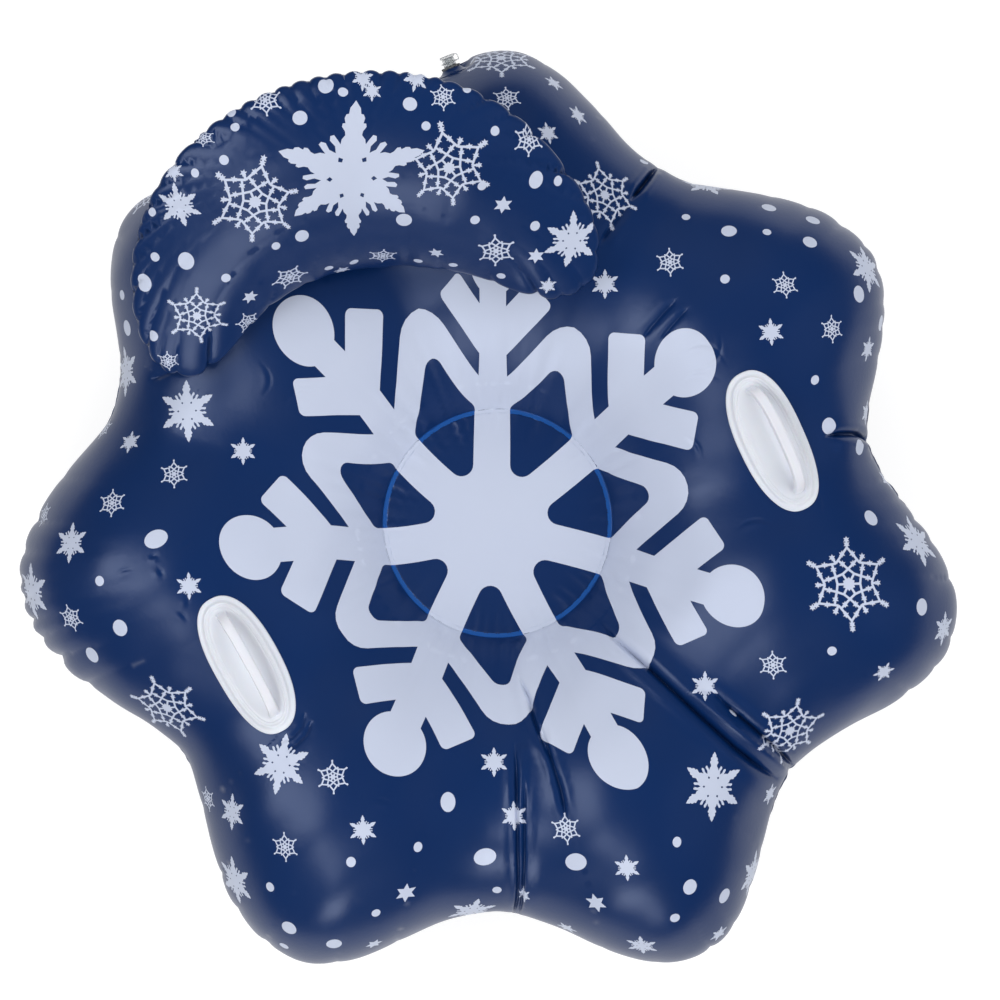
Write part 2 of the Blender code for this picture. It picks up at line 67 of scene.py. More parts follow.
focal = cameraSizes["lens"] / cameraSizes["sensor"] * cameraSizes["image"]
imageRight = np.array([math.cos(camera.rotation_euler.z), math.sin(camera.rotation_euler.z), 0.0])
imageUp = np.array([-imageRight[1], imageRight[0], 0.0])
cameraPlace = np.array(camera.location)


# Where points of the sled are seen in the image, in pixels
def seen(points):
    offset = points - cameraPlace
    depth = cameraSizes["height"] - points[:, 2]
    middle = cameraSizes["image"] / 2
    return np.stack([middle + focal * (offset @ imageRight) / depth,
                     middle - focal * (offset @ imageUp) / depth], axis=1)


# Shader maths: a socket with operators, and one method for every other node
class Wire:
    def __init__(self, tree, socket):
        self.tree = tree
        self.socket = socket

    def maths(self, operation, *values):
        return addNode(self.tree, "ShaderNodeMath", dict(operation=operation), dict(enumerate(values)))

    def __add__(self, other):
        return self.maths("ADD", self, other)

    def __radd__(self, other):
        return self.maths("ADD", other, self)

    def __sub__(self, other):
        return self.maths("SUBTRACT", self, other)

    def __rsub__(self, other):
        return self.maths("SUBTRACT", other, self)

    def __mul__(self, other):
        return self.maths("MULTIPLY", self, other)

    def __rmul__(self, other):
        return self.maths("MULTIPLY", other, self)

    def __truediv__(self, other):
        return self.maths("DIVIDE", self, other)

    def __pow__(self, other):
        return self.maths("POWER", self, other)

    def band(self, low, high):
        settings = dict(interpolation_type="SMOOTHSTEP")
        return addNode(self.tree, "ShaderNodeMapRange", settings, {0: self, 1: low, 2: high})


def addNode(tree, kind, settings, values, output=0):
    node = tree.nodes.new(kind)
    for name, value in settings.items():
        setattr(node, name, value)
    for key, value in values.items():
        if isinstance(value, Wire):
            tree.links.new(value.socket, node.inputs[key])
        else:
            node.inputs[key].default_value = value
    return Wire(tree, node.outputs[output])


def newMaterial(name, fixed):
    made = bpy.data.materials.new(name)
    made.use_nodes = True
    tree = made.node_tree
    shader = tree.nodes["Principled BSDF"]
    for key, value in fixed.items():
        shader.inputs[key].default_value = value
    place = addNode(tree, "ShaderNodeTexCoord", {}, {}, "Object")
    return made, tree, shader, place


def noise(tree, place, scale, detail=2.0, roughness=0.5):
    values = {"Vector": place, "Scale": scale, "Detail": detail, "Roughness": roughness}
    return addNode(tree, "ShaderNodeTexNoise", {}, values, "Fac")


def tint(tree, factor, first, second):
    values = {0: factor, 6: (*first, 1.0), 7: (*second, 1.0)}
    return addNode(tree, "ShaderNodeMix", dict(data_type="RGBA"), values, 2)


# Feeds a surface its colour, roughness and fine relief
def dress(tree, shader, colour, roughness, height, look):
    values = {"Height": height, "Distance": look["relief"], "Strength": look["reliefShare"]}
    relief = addNode(tree, "ShaderNodeBump", {}, values)
    for key, wire in (("Base Color", colour), ("Roughness", roughness), ("Normal", relief)):
        tree.links.new(wire.socket, shader.inputs[key])


filmLook = dict(
    navy=(0.0030, 0.0240, 0.108), deep=(0.0020, 0.0185, 0.090), weld=(0.012, 0.085, 0.33),
    ink=(0.58, 0.63, 0.76), inkShade=(0.53, 0.58, 0.72), sheen=(0.66, 0.76, 1.0), ior=1.5,
    gloss=0.30, weldGloss=0.24, inkGloss=0.36, uneven=0.05,
    broad=7.0, cloud=45.0, mark=240.0, grain=1400.0, relief=0.0005, reliefShare=0.35,
)


# Satin film: a fine calendered grain, faint flow marks and soft rubbed patches
def filmMaterial(name, first, second, gloss):
    fixed = {"IOR": filmLook["ior"], "Specular Tint": (*filmLook["sheen"], 1.0)}
    made, tree, shader, place = newMaterial(name, fixed)
    broad = noise(tree, place, filmLook["broad"], 3.0)
    cloud = noise(tree, place, filmLook["cloud"], 3.0)
    grain = noise(tree, place, filmLook["grain"], 2.0, 0.6)
    mark = noise(tree, place, filmLook["mark"])
    uneven = filmLook["uneven"]
    roughness = gloss - uneven + broad * uneven + cloud * uneven
    height = grain * 0.25 + mark * 0.45 + cloud * 0.8
    dress(tree, shader, tint(tree, broad, first, second), roughness, height, filmLook)
    return made


navyFilm = filmMaterial("navyFilm", filmLook["navy"], filmLook["deep"], filmLook["gloss"])
weldFilm = filmMaterial("weldFilm", filmLook["weld"], filmLook["weld"], filmLook["weldGloss"])
paleInk = filmMaterial("paleInk", filmLook["ink"], filmLook["inkShade"], filmLook["inkGloss"])

mouldingLook = dict(
    white=(0.79, 0.79, 0.84), shade=(0.72, 0.73, 0.80), ior=1.5, glow=0.08, gloss=0.34, uneven=0.08,
    broad=28.0, skin=1900.0, relief=0.0006, reliefShare=0.3,
)


# Soft white moulding: faint sink marks, a fine spark-eroded skin and patches of a cooler white
def mouldingMaterial(name):
    fixed = {"IOR": mouldingLook["ior"], "Subsurface Weight": mouldingLook["glow"]}
    made, tree, shader, place = newMaterial(name, fixed)
    broad = noise(tree, place, mouldingLook["broad"])
    skin = noise(tree, place, mouldingLook["skin"], 2.0, 0.6)
    colour = tint(tree, broad, mouldingLook["white"], mouldingLook["shade"])
    roughness = mouldingLook["gloss"] - mouldingLook["uneven"] / 2 + broad * mouldingLook["uneven"]
    dress(tree, shader, colour, roughness, skin * 0.3 + broad, mouldingLook)
    return made


whiteMoulding = mouldingMaterial("whiteMoulding")

clearLook = dict(
    tone=(0.82, 0.84, 0.85), dull=0.88, ior=1.52, clear=0.92, gloss=0.05, uneven=0.10,
    haze=160.0, pits=2600.0, relief=0.0002, reliefShare=0.3,
)


# Clear soft valve plastic, slightly hazed
def clearMaterial(name):
    fixed = {"IOR": clearLook["ior"], "Transmission Weight": clearLook["clear"]}
    made, tree, shader, place = newMaterial(name, fixed)
    haze = noise(tree, place, clearLook["haze"])
    pits = noise(tree, place, clearLook["pits"], 1.0)
    dull = tuple(clearLook["dull"] * part for part in clearLook["tone"])
    roughness = clearLook["gloss"] + haze * clearLook["uneven"]
    dress(tree, shader, tint(tree, haze, clearLook["tone"], dull), roughness, pits + haze, clearLook)
    return made


clearPlastic = clearMaterial("clearPlastic")
print("materials made")


def newPiece(name, points, faces, materials, slots=None, smooth=True):
    mesh = bpy.data.meshes.new(name)
    mesh.from_pydata([tuple(p) for p in points], [], [tuple(f) for f in faces])
    for made in materials:
        mesh.materials.append(made)
    if slots is not None:
        mesh.polygons.foreach_set("material_index", np.asarray(slots, dtype=np.int32))
    mesh.polygons.foreach_set("use_smooth", np.full(len(mesh.polygons), smooth))
    mesh.update()
    piece = bpy.data.objects.new(name, mesh)
    bpy.context.scene.collection.objects.link(piece)
    return piece


# Faces between two closed rows of points; a row of one point closes the end
def ringFaces(low, high):
    count = max(len(low), len(high))
    faces = []
    for i in range(count):
        j = (i + 1) % count
        if len(low) == 1:
            faces.append((low[0], high[i], high[j]))
        elif len(high) == 1:
            faces.append((low[i], high[0], low[j]))
        else:
            faces.append((low[i], high[i], high[j], low[j]))
    return faces


def unit(vectors):
    return vectors / np.maximum(np.linalg.norm(vectors, axis=-1, keepdims=True), 1e-12)


def zeros(values):
    return np.zeros(len(values))


def signedPower(values, power):
    return np.sign(values) * np.abs(values) ** power


def polar(radius, angle):
    return np.stack([radius * np.cos(angle), radius * np.sin(angle)], axis=1)


def radiusAngle(plan):
    return np.hypot(plan[:, 0], plan[:, 1]), np.arctan2(plan[:, 1], plan[:, 0])


# Lengths from the start of a line to each of its points
def lengthsAlong(points):
    return np.concatenate([[0.0], np.cumsum(np.linalg.norm(np.diff(points, axis=0), axis=1))])


# The moves that change two values by p and q, where a, b are the first one's slopes and c, d the second's
def solvePairs(a, b, c, d, p, q, least=0.0):
    det = a * d - b * c
    det = np.where(np.abs(det) < least, least, det)
    return np.stack([(d * p - b * q) / det, (a * q - c * p) / det], axis=1)


def atMost(moves, length):
    return moves * np.minimum(1.0, length / np.maximum(np.linalg.norm(moves, axis=1, keepdims=True), 1e-9))


def treeOf(places):
    tree = KDTree(len(places))
    for i, (x, y) in enumerate(places):
        tree.insert((x, y, 0.0), i)
    tree.balance()
    return tree


def smoothStep(values, low, high):
    share = np.clip((values - low) / (high - low), 0.0, 1.0)
    return share * share * (3 - 2 * share)


# A soft random swell over a plane or a line, from a few waves of fixed seed
def swell(points, length, seed, waves=24):
    draw = np.random.default_rng(seed)
    way = draw.normal(size=(waves, points.shape[1])) * 2 * math.pi / length / 1.4
    phase = draw.uniform(0, 2 * math.pi, waves)
    total = np.zeros(len(points))
    for k, p in zip(way, phase):
        total += np.cos(points @ k + p)
    return total / math.sqrt(waves / 2)


# Puckers of a seam: places along it where the film is drawn in to a sharp cusp
class Puckers:
    def __init__(self, places, depths, runs, length):
        order = np.argsort(places)
        self.places = np.asarray(places)[order]
        self.depths = np.asarray(depths)[order]
        self.runs = np.asarray(runs)[order]
        self.length = length

    def draw(self, along, up, cuspWidth, spread):
        count = len(self.places)
        after = np.searchsorted(self.places, along) % count
        before = (after - 1) % count
        gap = (self.places[after] - self.places[before]) % self.length
        total = np.zeros(len(along))
        for index, side in ((before, 1), (after, -1)):
            away = (side * (along - self.places[index])) % self.length
            width = cuspWidth + spread * up
            share = np.clip(away / np.maximum(gap / 2, 1e-6), 0.0, 1.0)
            arc = 1 - np.sqrt(1 - (1 - share) ** 2)
            cusp = np.exp(-(away / width) ** 1.15)
            run = self.runs[index]
            pull = self.depths[index] * (0.62 * cusp * np.exp(-up / run)
                                         + 0.38 * arc * np.exp(-up / (0.45 * gap + 0.004)))
            total = np.maximum(total, pull)
        return total


# How flat places are searched for: the step of slopes, the least area in pixels that a square metre
# may show as, the longest move, and the least upward share of a normal that the camera sees
search = dict(step=0.0005, least=20000.0, longest=0.008, tries=3, facing=0.02)


# A flat sheet that is filled with air: shape() takes flat places to places in space
class Film:
    east = np.array([search["step"], 0.0])
    north = np.array([0.0, search["step"]])

    def __init__(self, shape, outward):
        self.shape = shape
        self.outward = outward

    def slopes(self, flat):
        return [(self.shape(flat + way) - self.shape(flat - way)) / (2 * search["step"])
                for way in (self.east, self.north)]

    def normals(self, flat):
        return unit(np.cross(*self.slopes(flat))) * self.outward

    def prepare(self, flat):
        kept = self.normals(flat)[:, 2] > search["facing"]
        self.known = flat[kept]
        self.tree = treeOf(seen(self.shape(self.known)))

    # The flat places that the camera sees at these pixels
    def find(self, pixels):
        pixels = np.asarray(pixels, dtype=float)
        flat = np.array([self.known[self.tree.find((x, y, 0.0))[1]] for x, y in pixels])
        for _ in range(search["tries"]):
            here = seen(self.shape(flat))
            east, north = ((seen(self.shape(flat + way)) - here) / search["step"]
                           for way in (self.east, self.north))
            miss = pixels - here
            move = solvePairs(east[:, 0], north[:, 0], east[:, 1], north[:, 1], *miss.T, search["least"])
            flat = flat + atMost(move, search["longest"])
        return flat

    # Moves from flat places whose real directions are right and up as the camera sees them
    def layers(self, flat):
        alongX, alongY = self.slopes(flat)
        up = self.normals(flat)
        north = unit(imageUp - up * (up @ imageUp)[:, None])
        east = np.cross(north, up)
        a, b, d = (np.sum(one * other, axis=1)
                   for one, other in ((alongX, alongX), (alongX, alongY), (alongY, alongY)))
        return [solvePairs(a, b, b, d, np.sum(alongX * want, axis=1), np.sum(alongY * want, axis=1))
                for want in (east, north)]


# Film of the tube
tube = dict(
    lobes=7, reach=0.504, valleys=(0.407, 0.403, 0.411, 0.411, 0.423, 0.411, 0.410),
    before=(2.3, 2.2, 2.5, 2.9, 1.65, 1.65, 1.85), after=(2.3, 1.75, 1.75, 2.1, 2.6, 1.85, 2.4),
    reachShares=(0.990, 0.975, 0.960, 0.985, 1.0, 1.0, 1.0),
    turns=(0.9, 1.0, -1.0, 0.6, 0.0, -3.2, 1.3),
    weld=0.120, weldInner=0.1155, height=0.236, flange=0.008, film=0.0005, gap=0.0003,
    patch=0.158, patchStep=0.0004, patchEase=0.001, groundFlat=0.0005, handleCalm=(0.05, 0.11),
    weldGroove=0.0006, grooveIn=(0.1150, 0.1160), grooveOut=(0.1200, 0.1212), weldRing=(0.1155, 0.1205),
    bulge=0.0105, bulgeRise=0.007, bulgeRun=0.055,
    puckerDepth=0.0056, puckerWidth=0.0040, puckerSpread=0.13, strongPucker=1.0, strongRun=0.060,
    ruffle=0.0014, pullShare=0.80, jagged=0.0004, edgeIn=0.0030,
    swell=0.0009, swellLength=0.16, swellFade=(0.13, 0.20), ripple=0.0007, rippleFade=(0.1205, 0.135),
    fanLength=0.11, fanRun=0.06, discRipple=0.0003, discFade=(0.08, 0.112),
)

midZ = -(1.5 * tube["film"] + tube["gap"])
seatStack = tube["film"] + tube["gap"]
rimStack = (tube["film"] + tube["gap"]) / 2
crownRise = tube["height"] / 2 - tube["film"]
fullSpan = tube["reach"] - tube["flange"] - tube["weld"]


# The section of an inflated ring of film without hoop tension: the sine of its slope
# falls with the square of the radius, and both edges are level
def inflatedSection(inner, outer, steps=2000):
    turn = np.linspace(0.0, math.pi, steps)
    radius = inner + (outer - inner) * (1 - np.cos(turn)) / 2
    middle = (radius[1:] + radius[:-1]) / 2
    low, high = inner, math.sqrt((inner * inner + outer * outer) / 2)
    for _ in range(50):
        crest = (low + high) / 2
        sine = np.clip((crest**2 - middle**2) / (outer**2 - crest**2), -0.9999, 0.9999)
        rise = np.concatenate([[0.0], np.cumsum(sine / np.sqrt(1 - sine**2) * np.diff(radius))])
        low, high = (crest, high) if rise[-1] < 0 else (low, crest)
    return (radius - inner) / (outer - inner), np.clip(rise / rise.max(), 0.0, 1.0)


sectionShare, sectionHeight = inflatedSection(tube["weld"], tube["weld"] + fullSpan)
crestShare = float(sectionShare[np.argmax(sectionHeight)])
sectionArc = lengthsAlong(np.stack([sectionShare, sectionHeight * crownRise / fullSpan], axis=1))
groundLevel = seatStack + (rimStack - seatStack) * crestShare + crownRise - tube["groundFlat"]

placeNodes = np.arange(-1, 10)
angleNodes = (2 * math.pi * placeNodes / tube["lobes"] - math.pi / 2
              + np.radians(np.array(tube["turns"])[placeNodes % tube["lobes"]]))


def placeAt(angle):
    return np.interp(np.mod(angle + math.pi / 2, 2 * math.pi) - math.pi / 2, angleNodes, placeNodes)


def betweenLobes(values, place):
    before = np.floor(place).astype(int)
    share = place - before
    table = np.asarray(values)
    return table[before % tube["lobes"]] * (1 - share) + table[(before + 1) % tube["lobes"]] * share


def rimRadius(place):
    nearest = np.floor(place + 0.5).astype(int)
    lobe = nearest % tube["lobes"]
    power = np.where(place < nearest, np.array(tube["before"])[lobe], np.array(tube["after"])[lobe])
    wave = np.abs(np.cos(math.pi * (place - nearest))) ** power
    reach = tube["reach"] * np.array(tube["reachShares"])[lobe]
    valley = np.array(tube["valleys"])[np.floor(place).astype(int) % tube["lobes"]]
    return valley + (reach - valley) * wave - tube["flange"]


def lobeness(place):
    return np.abs(np.cos(math.pi * (place - np.floor(place + 0.5))))


def crownAt(place):
    span = rimRadius(place) - tube["weld"]
    lobeSpan = tube["reach"] * betweenLobes(tube["reachShares"], place) - tube["flange"] - tube["weld"]
    return crownRise * span / lobeSpan


# Distance along the rim weld
rimAngles = np.linspace(-math.pi / 2, 1.5 * math.pi, 7201)
rimPlaces = placeAt(rimAngles)
rimPlaces[-1] = placeAt(np.array([-math.pi / 2]))[0] + tube["lobes"]
rimLengths = lengthsAlong(polar(rimRadius(rimPlaces), rimAngles))
rimTotal = float(rimLengths[-1])


def alongRim(angle):
    return np.interp(np.mod(angle + math.pi / 2, 2 * math.pi) - math.pi / 2, rimAngles, rimLengths)


# Puckers that the image shows on the rim, as image angles about the seat with their depth,
# and others between them
rimCusps = (
    (231.8, 1.0), (236.1, 0.7), (241.1, 1.0), (249.8, 0.8), (224.0, 0.5), (256.5, 0.35), (284.0, 0.35),
    (290.0, 0.25), (296.7, 0.8), (300.5, 0.5), (304.7, 0.6), (309.0, 0.4), (319.8, 1.1), (345.8, 0.8),
    (341.8, 0.9), (337.9, 0.9), (353.1, 1.0), (357.6, 0.9), (0.5, 0.9), (3.6, 0.5), (6.5, 0.4), (12.5, 1.0),
    (23.7, 0.6), (27.0, 0.7), (29.6, 0.9), (33.7, 0.9), (37.0, 0.9), (41.0, 0.8), (45.5, 0.5), (50.0, 0.4),
    (179.6, 1.3), (183.4, 1.1), (186.9, 1.3), (188.9, 1.7), (191.7, 1.8), (194.0, 1.6), (197.1, 2.3),
    (201.3, 1.1), (60.0, 0.3), (76.0, 0.3), (84.0, 0.25), (98.0, 0.4), (104.0, 0.4), (125.0, 0.5),
    (131.0, 0.6), (136.5, 0.6), (143.0, 0.6), (149.0, 0.5), (156.0, 0.3), (174.0, 0.4),
)
draw = np.random.default_rng(11)
cuspAngles = np.radians(np.array([a for a, _ in rimCusps]) + cameraSizes["turn"])
cuspDepths = np.array([d for _, d in rimCusps])
cuspRuns = draw.uniform(0.012, 0.050, len(rimCusps))
cuspRuns = np.where(cuspDepths > tube["strongPucker"], tube["strongRun"], cuspRuns)
rimPuckers = Puckers(alongRim(cuspAngles), cuspDepths, cuspRuns, rimTotal)

# Creases, as image points, with depth and half width in metres; a raised roll lies beside some
tubeFolds = (
    dict(depth=0.0100, width=0.0048,
         line=((600, 622), (608, 632), (620, 643), (651, 670), (702, 717), (735, 747), (762, 768),
               (778, 779))),
    dict(depth=0.0080, width=0.0036,
         line=((714, 694), (728, 707), (755, 730), (778, 750), (792, 764), (800, 772))),
    dict(depth=0.0060, width=0.0030,
         line=((514, 742), (516, 767), (517, 820), (518, 870), (517, 900), (512, 916))),
    dict(depth=0.0050, width=0.0030, line=((525, 775), (524, 820), (524, 860), (522, 895), (518, 914))),
    dict(depth=0.0055, width=0.0034, line=((518, 676), (529, 697), (533, 717), (542, 742), (551, 760))),
    dict(depth=0.0050, width=0.0030, line=((540, 724), (549, 752), (560, 790), (566, 822))),
    dict(depth=0.0085, width=0.0034, line=((884, 441), (873, 438), (858, 434), (842, 434), (826, 436))),
    dict(depth=0.0060, width=0.0034, line=((659, 165), (650, 176), (640, 188), (630, 201))),
    dict(depth=0.0050, width=0.0030, line=((652, 172), (644, 184), (634, 197))),
    dict(depth=0.0040, width=0.0040, line=((628, 204), (616, 220), (600, 243))),
    dict(depth=0.0022, width=0.0036, line=((676, 300), (664, 312), (651, 327), (642, 339))),
    dict(depth=0.0018, width=0.0030, line=((688, 308), (672, 325), (660, 340))),
    dict(depth=0.0020, width=0.0040, line=((312, 720), (306, 734), (296, 744), (286, 749))),
    dict(depth=0.0016, width=0.0036, line=((305, 712), (302, 726), (292, 737), (280, 742))),
    dict(depth=0.0030, width=0.0060, line=((150, 380), (170, 372), (195, 372))),
    dict(depth=0.0016, width=0.0030, line=((722, 700), (712, 692), (700, 690))),
)
tubeRolls = (
    dict(height=0.0050, width=0.0100, line=((690, 690), (718, 714), (748, 738), (775, 760), (792, 776))),
    dict(height=0.0025, width=0.0060, line=((521, 745), (521, 800), (521, 870), (518, 905))),
    dict(height=0.0022, width=0.0060, line=((533, 712), (545, 745), (556, 780))),
    dict(height=0.0030, width=0.0090, line=((520, 640), (525, 680), (531, 700))),
    dict(height=0.0025, width=0.0100, line=((880, 448), (858, 446), (835, 447))),
)
# Small dents where the film once had a kink: image place, length and depth
tubeDents = (
    (153, 556, 0.0035, 0.0008), (161, 572, 0.0040, 0.0009), (124, 570, 0.007, 0.0004),
    (186, 545, 0.008, 0.0003), (183, 615, 0.006, 0.0006), (188, 602, 0.005, 0.0005),
    (706, 345, 0.016, 0.0009), (716, 360, 0.014, 0.0008), (700, 372, 0.012, 0.0007),
    (697, 445, 0.010, 0.0006), (755, 520, 0.012, 0.0006), (820, 500, 0.010, 0.0006),
    (640, 660, 0.012, 0.0006), (384, 800, 0.010, 0.0005), (300, 390, 0.012, 0.0007),
    (270, 380, 0.012, 0.0006),
)


# Flat places as the inflated tube has them, without relief
def baseTube(flat, side):
    radius, angle = radiusAngle(flat)
    place = placeAt(angle)
    span = rimRadius(place) - tube["weld"]
    arc = np.maximum(radius - tube["weld"], 0.0) / span
    share = np.interp(arc, sectionArc, sectionShare)
    out = np.where(radius < tube["weld"], radius, tube["weld"] + span * share)
    rise = crownAt(place) * np.interp(share, sectionShare, sectionHeight)
    stack = seatStack + (rimStack - seatStack) * share
    if side < 0:
        rise = np.minimum(rise, groundLevel - stack)
    up = np.maximum(sectionArc[-1] - arc, 0.0) * span
    bulge = tube["bulge"] * (1 - np.exp(-up / tube["bulgeRise"])) * np.exp(-up / tube["bulgeRun"])
    out = out + bulge * (0.55 + 0.45 * lobeness(place)) * (radius >= tube["weld"])
    z = midZ + side * (stack + rise + tube["film"] / 2)
    return np.column_stack([polar(out, angle), z]), angle, radius, up


def baseNormals(flat, side):
    east, north = (baseTube(flat + way, side)[0] - baseTube(flat - way, side)[0]
                   for way in (Film.east, Film.north))
    return unit(np.cross(east, north)) * side


# Distance from flat places to a bent line, and how far along it they lie, 0 to 1
def nearLine(flat, line):
    ends = lengthsAlong(line)
    pieces = np.diff(ends)
    best = np.full(len(flat), 9.0)
    where = np.zeros(len(flat))
    for a, b, start, piece in zip(line[:-1], line[1:], ends, pieces):
        share = np.clip(((flat - a) @ (b - a)) / piece**2, 0.0, 1.0)
        away = np.linalg.norm(flat - a - share[:, None] * (b - a), axis=1)
        closer = away < best
        best = np.where(closer, away, best)
        where = np.where(closer, (start + share * piece) / ends[-1], where)
    return best, where


# Handles: a moulded pad with a raised double rim round a dish, and a strap over the dish
handles = dict(
    length=0.1525, width=0.068, squareness=2.4, around=168, reach=0.2915, under=-0.003, rimRows=(0.5, 0.62),
    gripLength=0.114, gripHeight=0.027, gripWidth=0.0108, gripThickness=0.0062, bead=0.0012,
    gripSquareness=2.4, footSpread=0.45, footRise=(0.001, 0.009), footSink=0.0025,
    angle=dict(left=185.3, right=-7.4), turn=dict(left=3.5, right=1.9), bow=dict(left=0.005, right=0.009),
)


def handleFrame(side):
    angle = math.radians(handles["angle"][side])
    turn = math.radians(handles["turn"][side])
    c, s = math.cos(turn), math.sin(turn)
    centre = np.array([math.cos(angle), math.sin(angle)]) * handles["reach"]
    return centre, np.array([[c, -s], [s, c]])


# Where on the flat sheet a place over the ground plan is
def flatFrom(plan):
    radius, angle = radiusAngle(plan)
    span = rimRadius(placeAt(angle)) - tube["weld"]
    share = np.clip((radius - tube["weld"]) / span, 0.0, 1.0)
    arc = np.interp(share, sectionShare, sectionArc)
    return polar(np.where(radius < tube["weld"], radius, tube["weld"] + span * arc), angle)


foldLines = []
rollLines = []
dentPlaces = []
handlePlaces = [flatFrom(handleFrame(side)[0][None, :])[0] for side in ("left", "right")]

# A crease's section in half widths: its core and the lip beside it
crease = dict(reach=0.26, taper=5, least=0.05, core=0.62, power=1.4, lip=0.22, lipAt=2.8, lipWidth=1.6)
# A dent is a short bow, with a lip on one side
dent = dict(reach=0.05, bow=22, width=0.0022, lip=0.6, lipAt=0.005, lipWidth=0.004)


def closeTo(flat, place, reach):
    return np.nonzero((np.abs(flat - place) < reach).all(axis=1))[0]


def tubeRelief(flat, angle, radius):
    height = tube["swell"] * swell(flat, tube["swellLength"], 3) * smoothStep(radius, *tube["swellFade"])
    ring = polar(1.0, angle)
    fan = swell(ring, tube["fanLength"], 5, 40)
    fan = fan * np.exp(-np.maximum(radius - tube["weld"], 0.0) / tube["fanRun"])
    height += tube["ripple"] * fan * smoothStep(radius, *tube["rippleFade"])
    disc = swell(ring, tube["swellLength"], 8, 30) * smoothStep(radius, *tube["discFade"])
    height += tube["discRipple"] * disc * (radius < tube["weldInner"])
    groove = smoothStep(radius, *tube["grooveIn"]) - smoothStep(radius, *tube["grooveOut"])
    height -= tube["weldGroove"] * groove
    beyond = smoothStep(radius, tube["patch"] - tube["patchEase"], tube["patch"] + tube["patchEase"])
    height += tube["patchStep"] * (1 - beyond) * (radius > tube["weld"])
    for centre in handlePlaces:
        height *= smoothStep(np.linalg.norm(flat - centre, axis=1), *tube["handleCalm"])
    for fold, line in foldLines:
        near = closeTo(flat, line.mean(axis=0), crease["reach"])
        away, where = nearLine(flat[near], line)
        taper = np.minimum(1.0, np.minimum(where, 1 - where) * crease["taper"] + crease["least"])
        widths = away / fold["width"]
        lip = crease["lip"] * np.exp(-((widths - crease["lipAt"]) / crease["lipWidth"]) ** 2)
        groove = 1 / (1 + (widths / crease["core"]) ** 2) ** crease["power"] - lip
        height[near] -= fold["depth"] * taper * groove
    for roll, line in rollLines:
        near = closeTo(flat, line.mean(axis=0), crease["reach"])
        away, where = nearLine(flat[near], line)
        height[near] += roll["height"] * np.sin(math.pi * where) ** 0.5 * np.exp(-(away / roll["width"]) ** 2)
    for centre, length, depth, way in dentPlaces:
        near = closeTo(flat, centre, dent["reach"])
        offset = flat[near] - centre
        a = offset @ way
        b = offset @ np.array([-way[1], way[0]]) - a * a * dent["bow"]
        lip = dent["lip"] * np.exp(-((b - dent["lipAt"]) / dent["lipWidth"]) ** 2)
        height[near] -= depth * np.exp(-(a / length) ** 2) * (np.exp(-(b / dent["width"]) ** 2) - lip)
    return height


# Valve collars: their middle on the film and the way they point. The film sinks inside them, to
# leave room for a valve that is pushed in.
collars = dict(
    reach=0.0165, fade=0.030, height=0.04, rimFade=0.010,
    sink=0.0078, sinkFrom=0.0125, sinkTo=0.0160, sinkHeight=0.02,
    rings=(0.004, 0.0085, 0.0125, 0.0137, 0.0149, 0.0160, 0.0180), around=36, clear=0.002, tries=14,
    longest=0.006,
    main=dict(origin=(0.1491, 0.4454, 0.0235), out=(0.0421, 0.9852, 0.1660)),
    backrest=dict(origin=(0.1229, 0.3699, 0.1537), out=(0.4589, 0.4588, -0.7608)),
)


# The film lies flat against its valve's collar
def seatOnCollar(space, name, up):
    out = unit(np.array(collars[name]["out"]))
    offset = space - np.array(collars[name]["origin"])
    high = offset @ out
    away = np.linalg.norm(offset - high[:, None] * out, axis=1)
    weight = (1 - smoothStep(away, collars["reach"], collars["fade"])) * (np.abs(high) < collars["height"])
    weight = weight * smoothStep(up, 0.0, collars["rimFade"])
    sunk = collars["sink"] * (1 - smoothStep(away, collars["sinkFrom"], collars["sinkTo"]))
    return space - out * (high * weight + sunk * (np.abs(high) < collars["sinkHeight"]))[:, None]


# Adds rings of flat places round a collar to the loose places of its film
def addCollarRings(film, name, loose):
    out = unit(np.array(collars[name]["out"]))
    level = unit(np.cross(out, [0.0, 0.0, 1.0]))
    side = np.cross(out, level)
    origin = np.array(collars[name]["origin"])
    start = loose[np.argmin(np.linalg.norm(film.shape(loose) - origin, axis=1))]
    turns = np.linspace(0.0, 2 * math.pi, collars["around"], endpoint=False)
    wanted = np.concatenate([np.zeros((1, 2))] + [polar(ring, turns) for ring in collars["rings"]])
    flat = np.tile(start, (len(wanted), 1))
    for _ in range(collars["tries"]):
        offset = film.shape(flat) - origin
        miss = wanted - np.stack([offset @ level, offset @ side], axis=1)
        alongX, alongY = film.slopes(flat)
        move = solvePairs(alongX @ level, alongY @ level, alongX @ side, alongY @ side, *miss.T)
        flat = flat + atMost(move, collars["longest"])
    kept = np.linalg.norm(loose - flat[0], axis=1) > collars["rings"][-1] + collars["clear"]
    return np.concatenate([loose[kept], flat])


def rimPull(angle, up):
    pull = rimPuckers.draw(alongRim(angle), up, tube["puckerWidth"], tube["puckerSpread"])
    return tube["puckerDepth"] * pull


def tubeShape(side):
    def shape(flat):
        space, angle, radius, up = baseTube(flat, side)
        normal = baseNormals(flat, side)
        if side > 0:
            height = tubeRelief(flat, angle, radius)
        else:
            low = swell(flat, tube["swellLength"], 31) * smoothStep(radius, *tube["swellFade"])
            height = np.minimum(tube["swell"] * low, 0.0)
        height = height * smoothStep(up, 0.0, 0.012)
        outward = np.column_stack([polar(1.0, angle), zeros(angle)])
        blend = smoothStep(up, 0.008, 0.045)[:, None]
        way = unit(outward * (1 - blend) + normal * blend)
        space = space + normal * height[:, None] - way * rimPull(angle, up)[:, None]
        return seatOnCollar(space, "main", up) if side > 0 else space
    return shape


def flatRim(angle):
    span = rimRadius(placeAt(angle)) - tube["weld"]
    return tube["weld"] + span * sectionArc[-1]


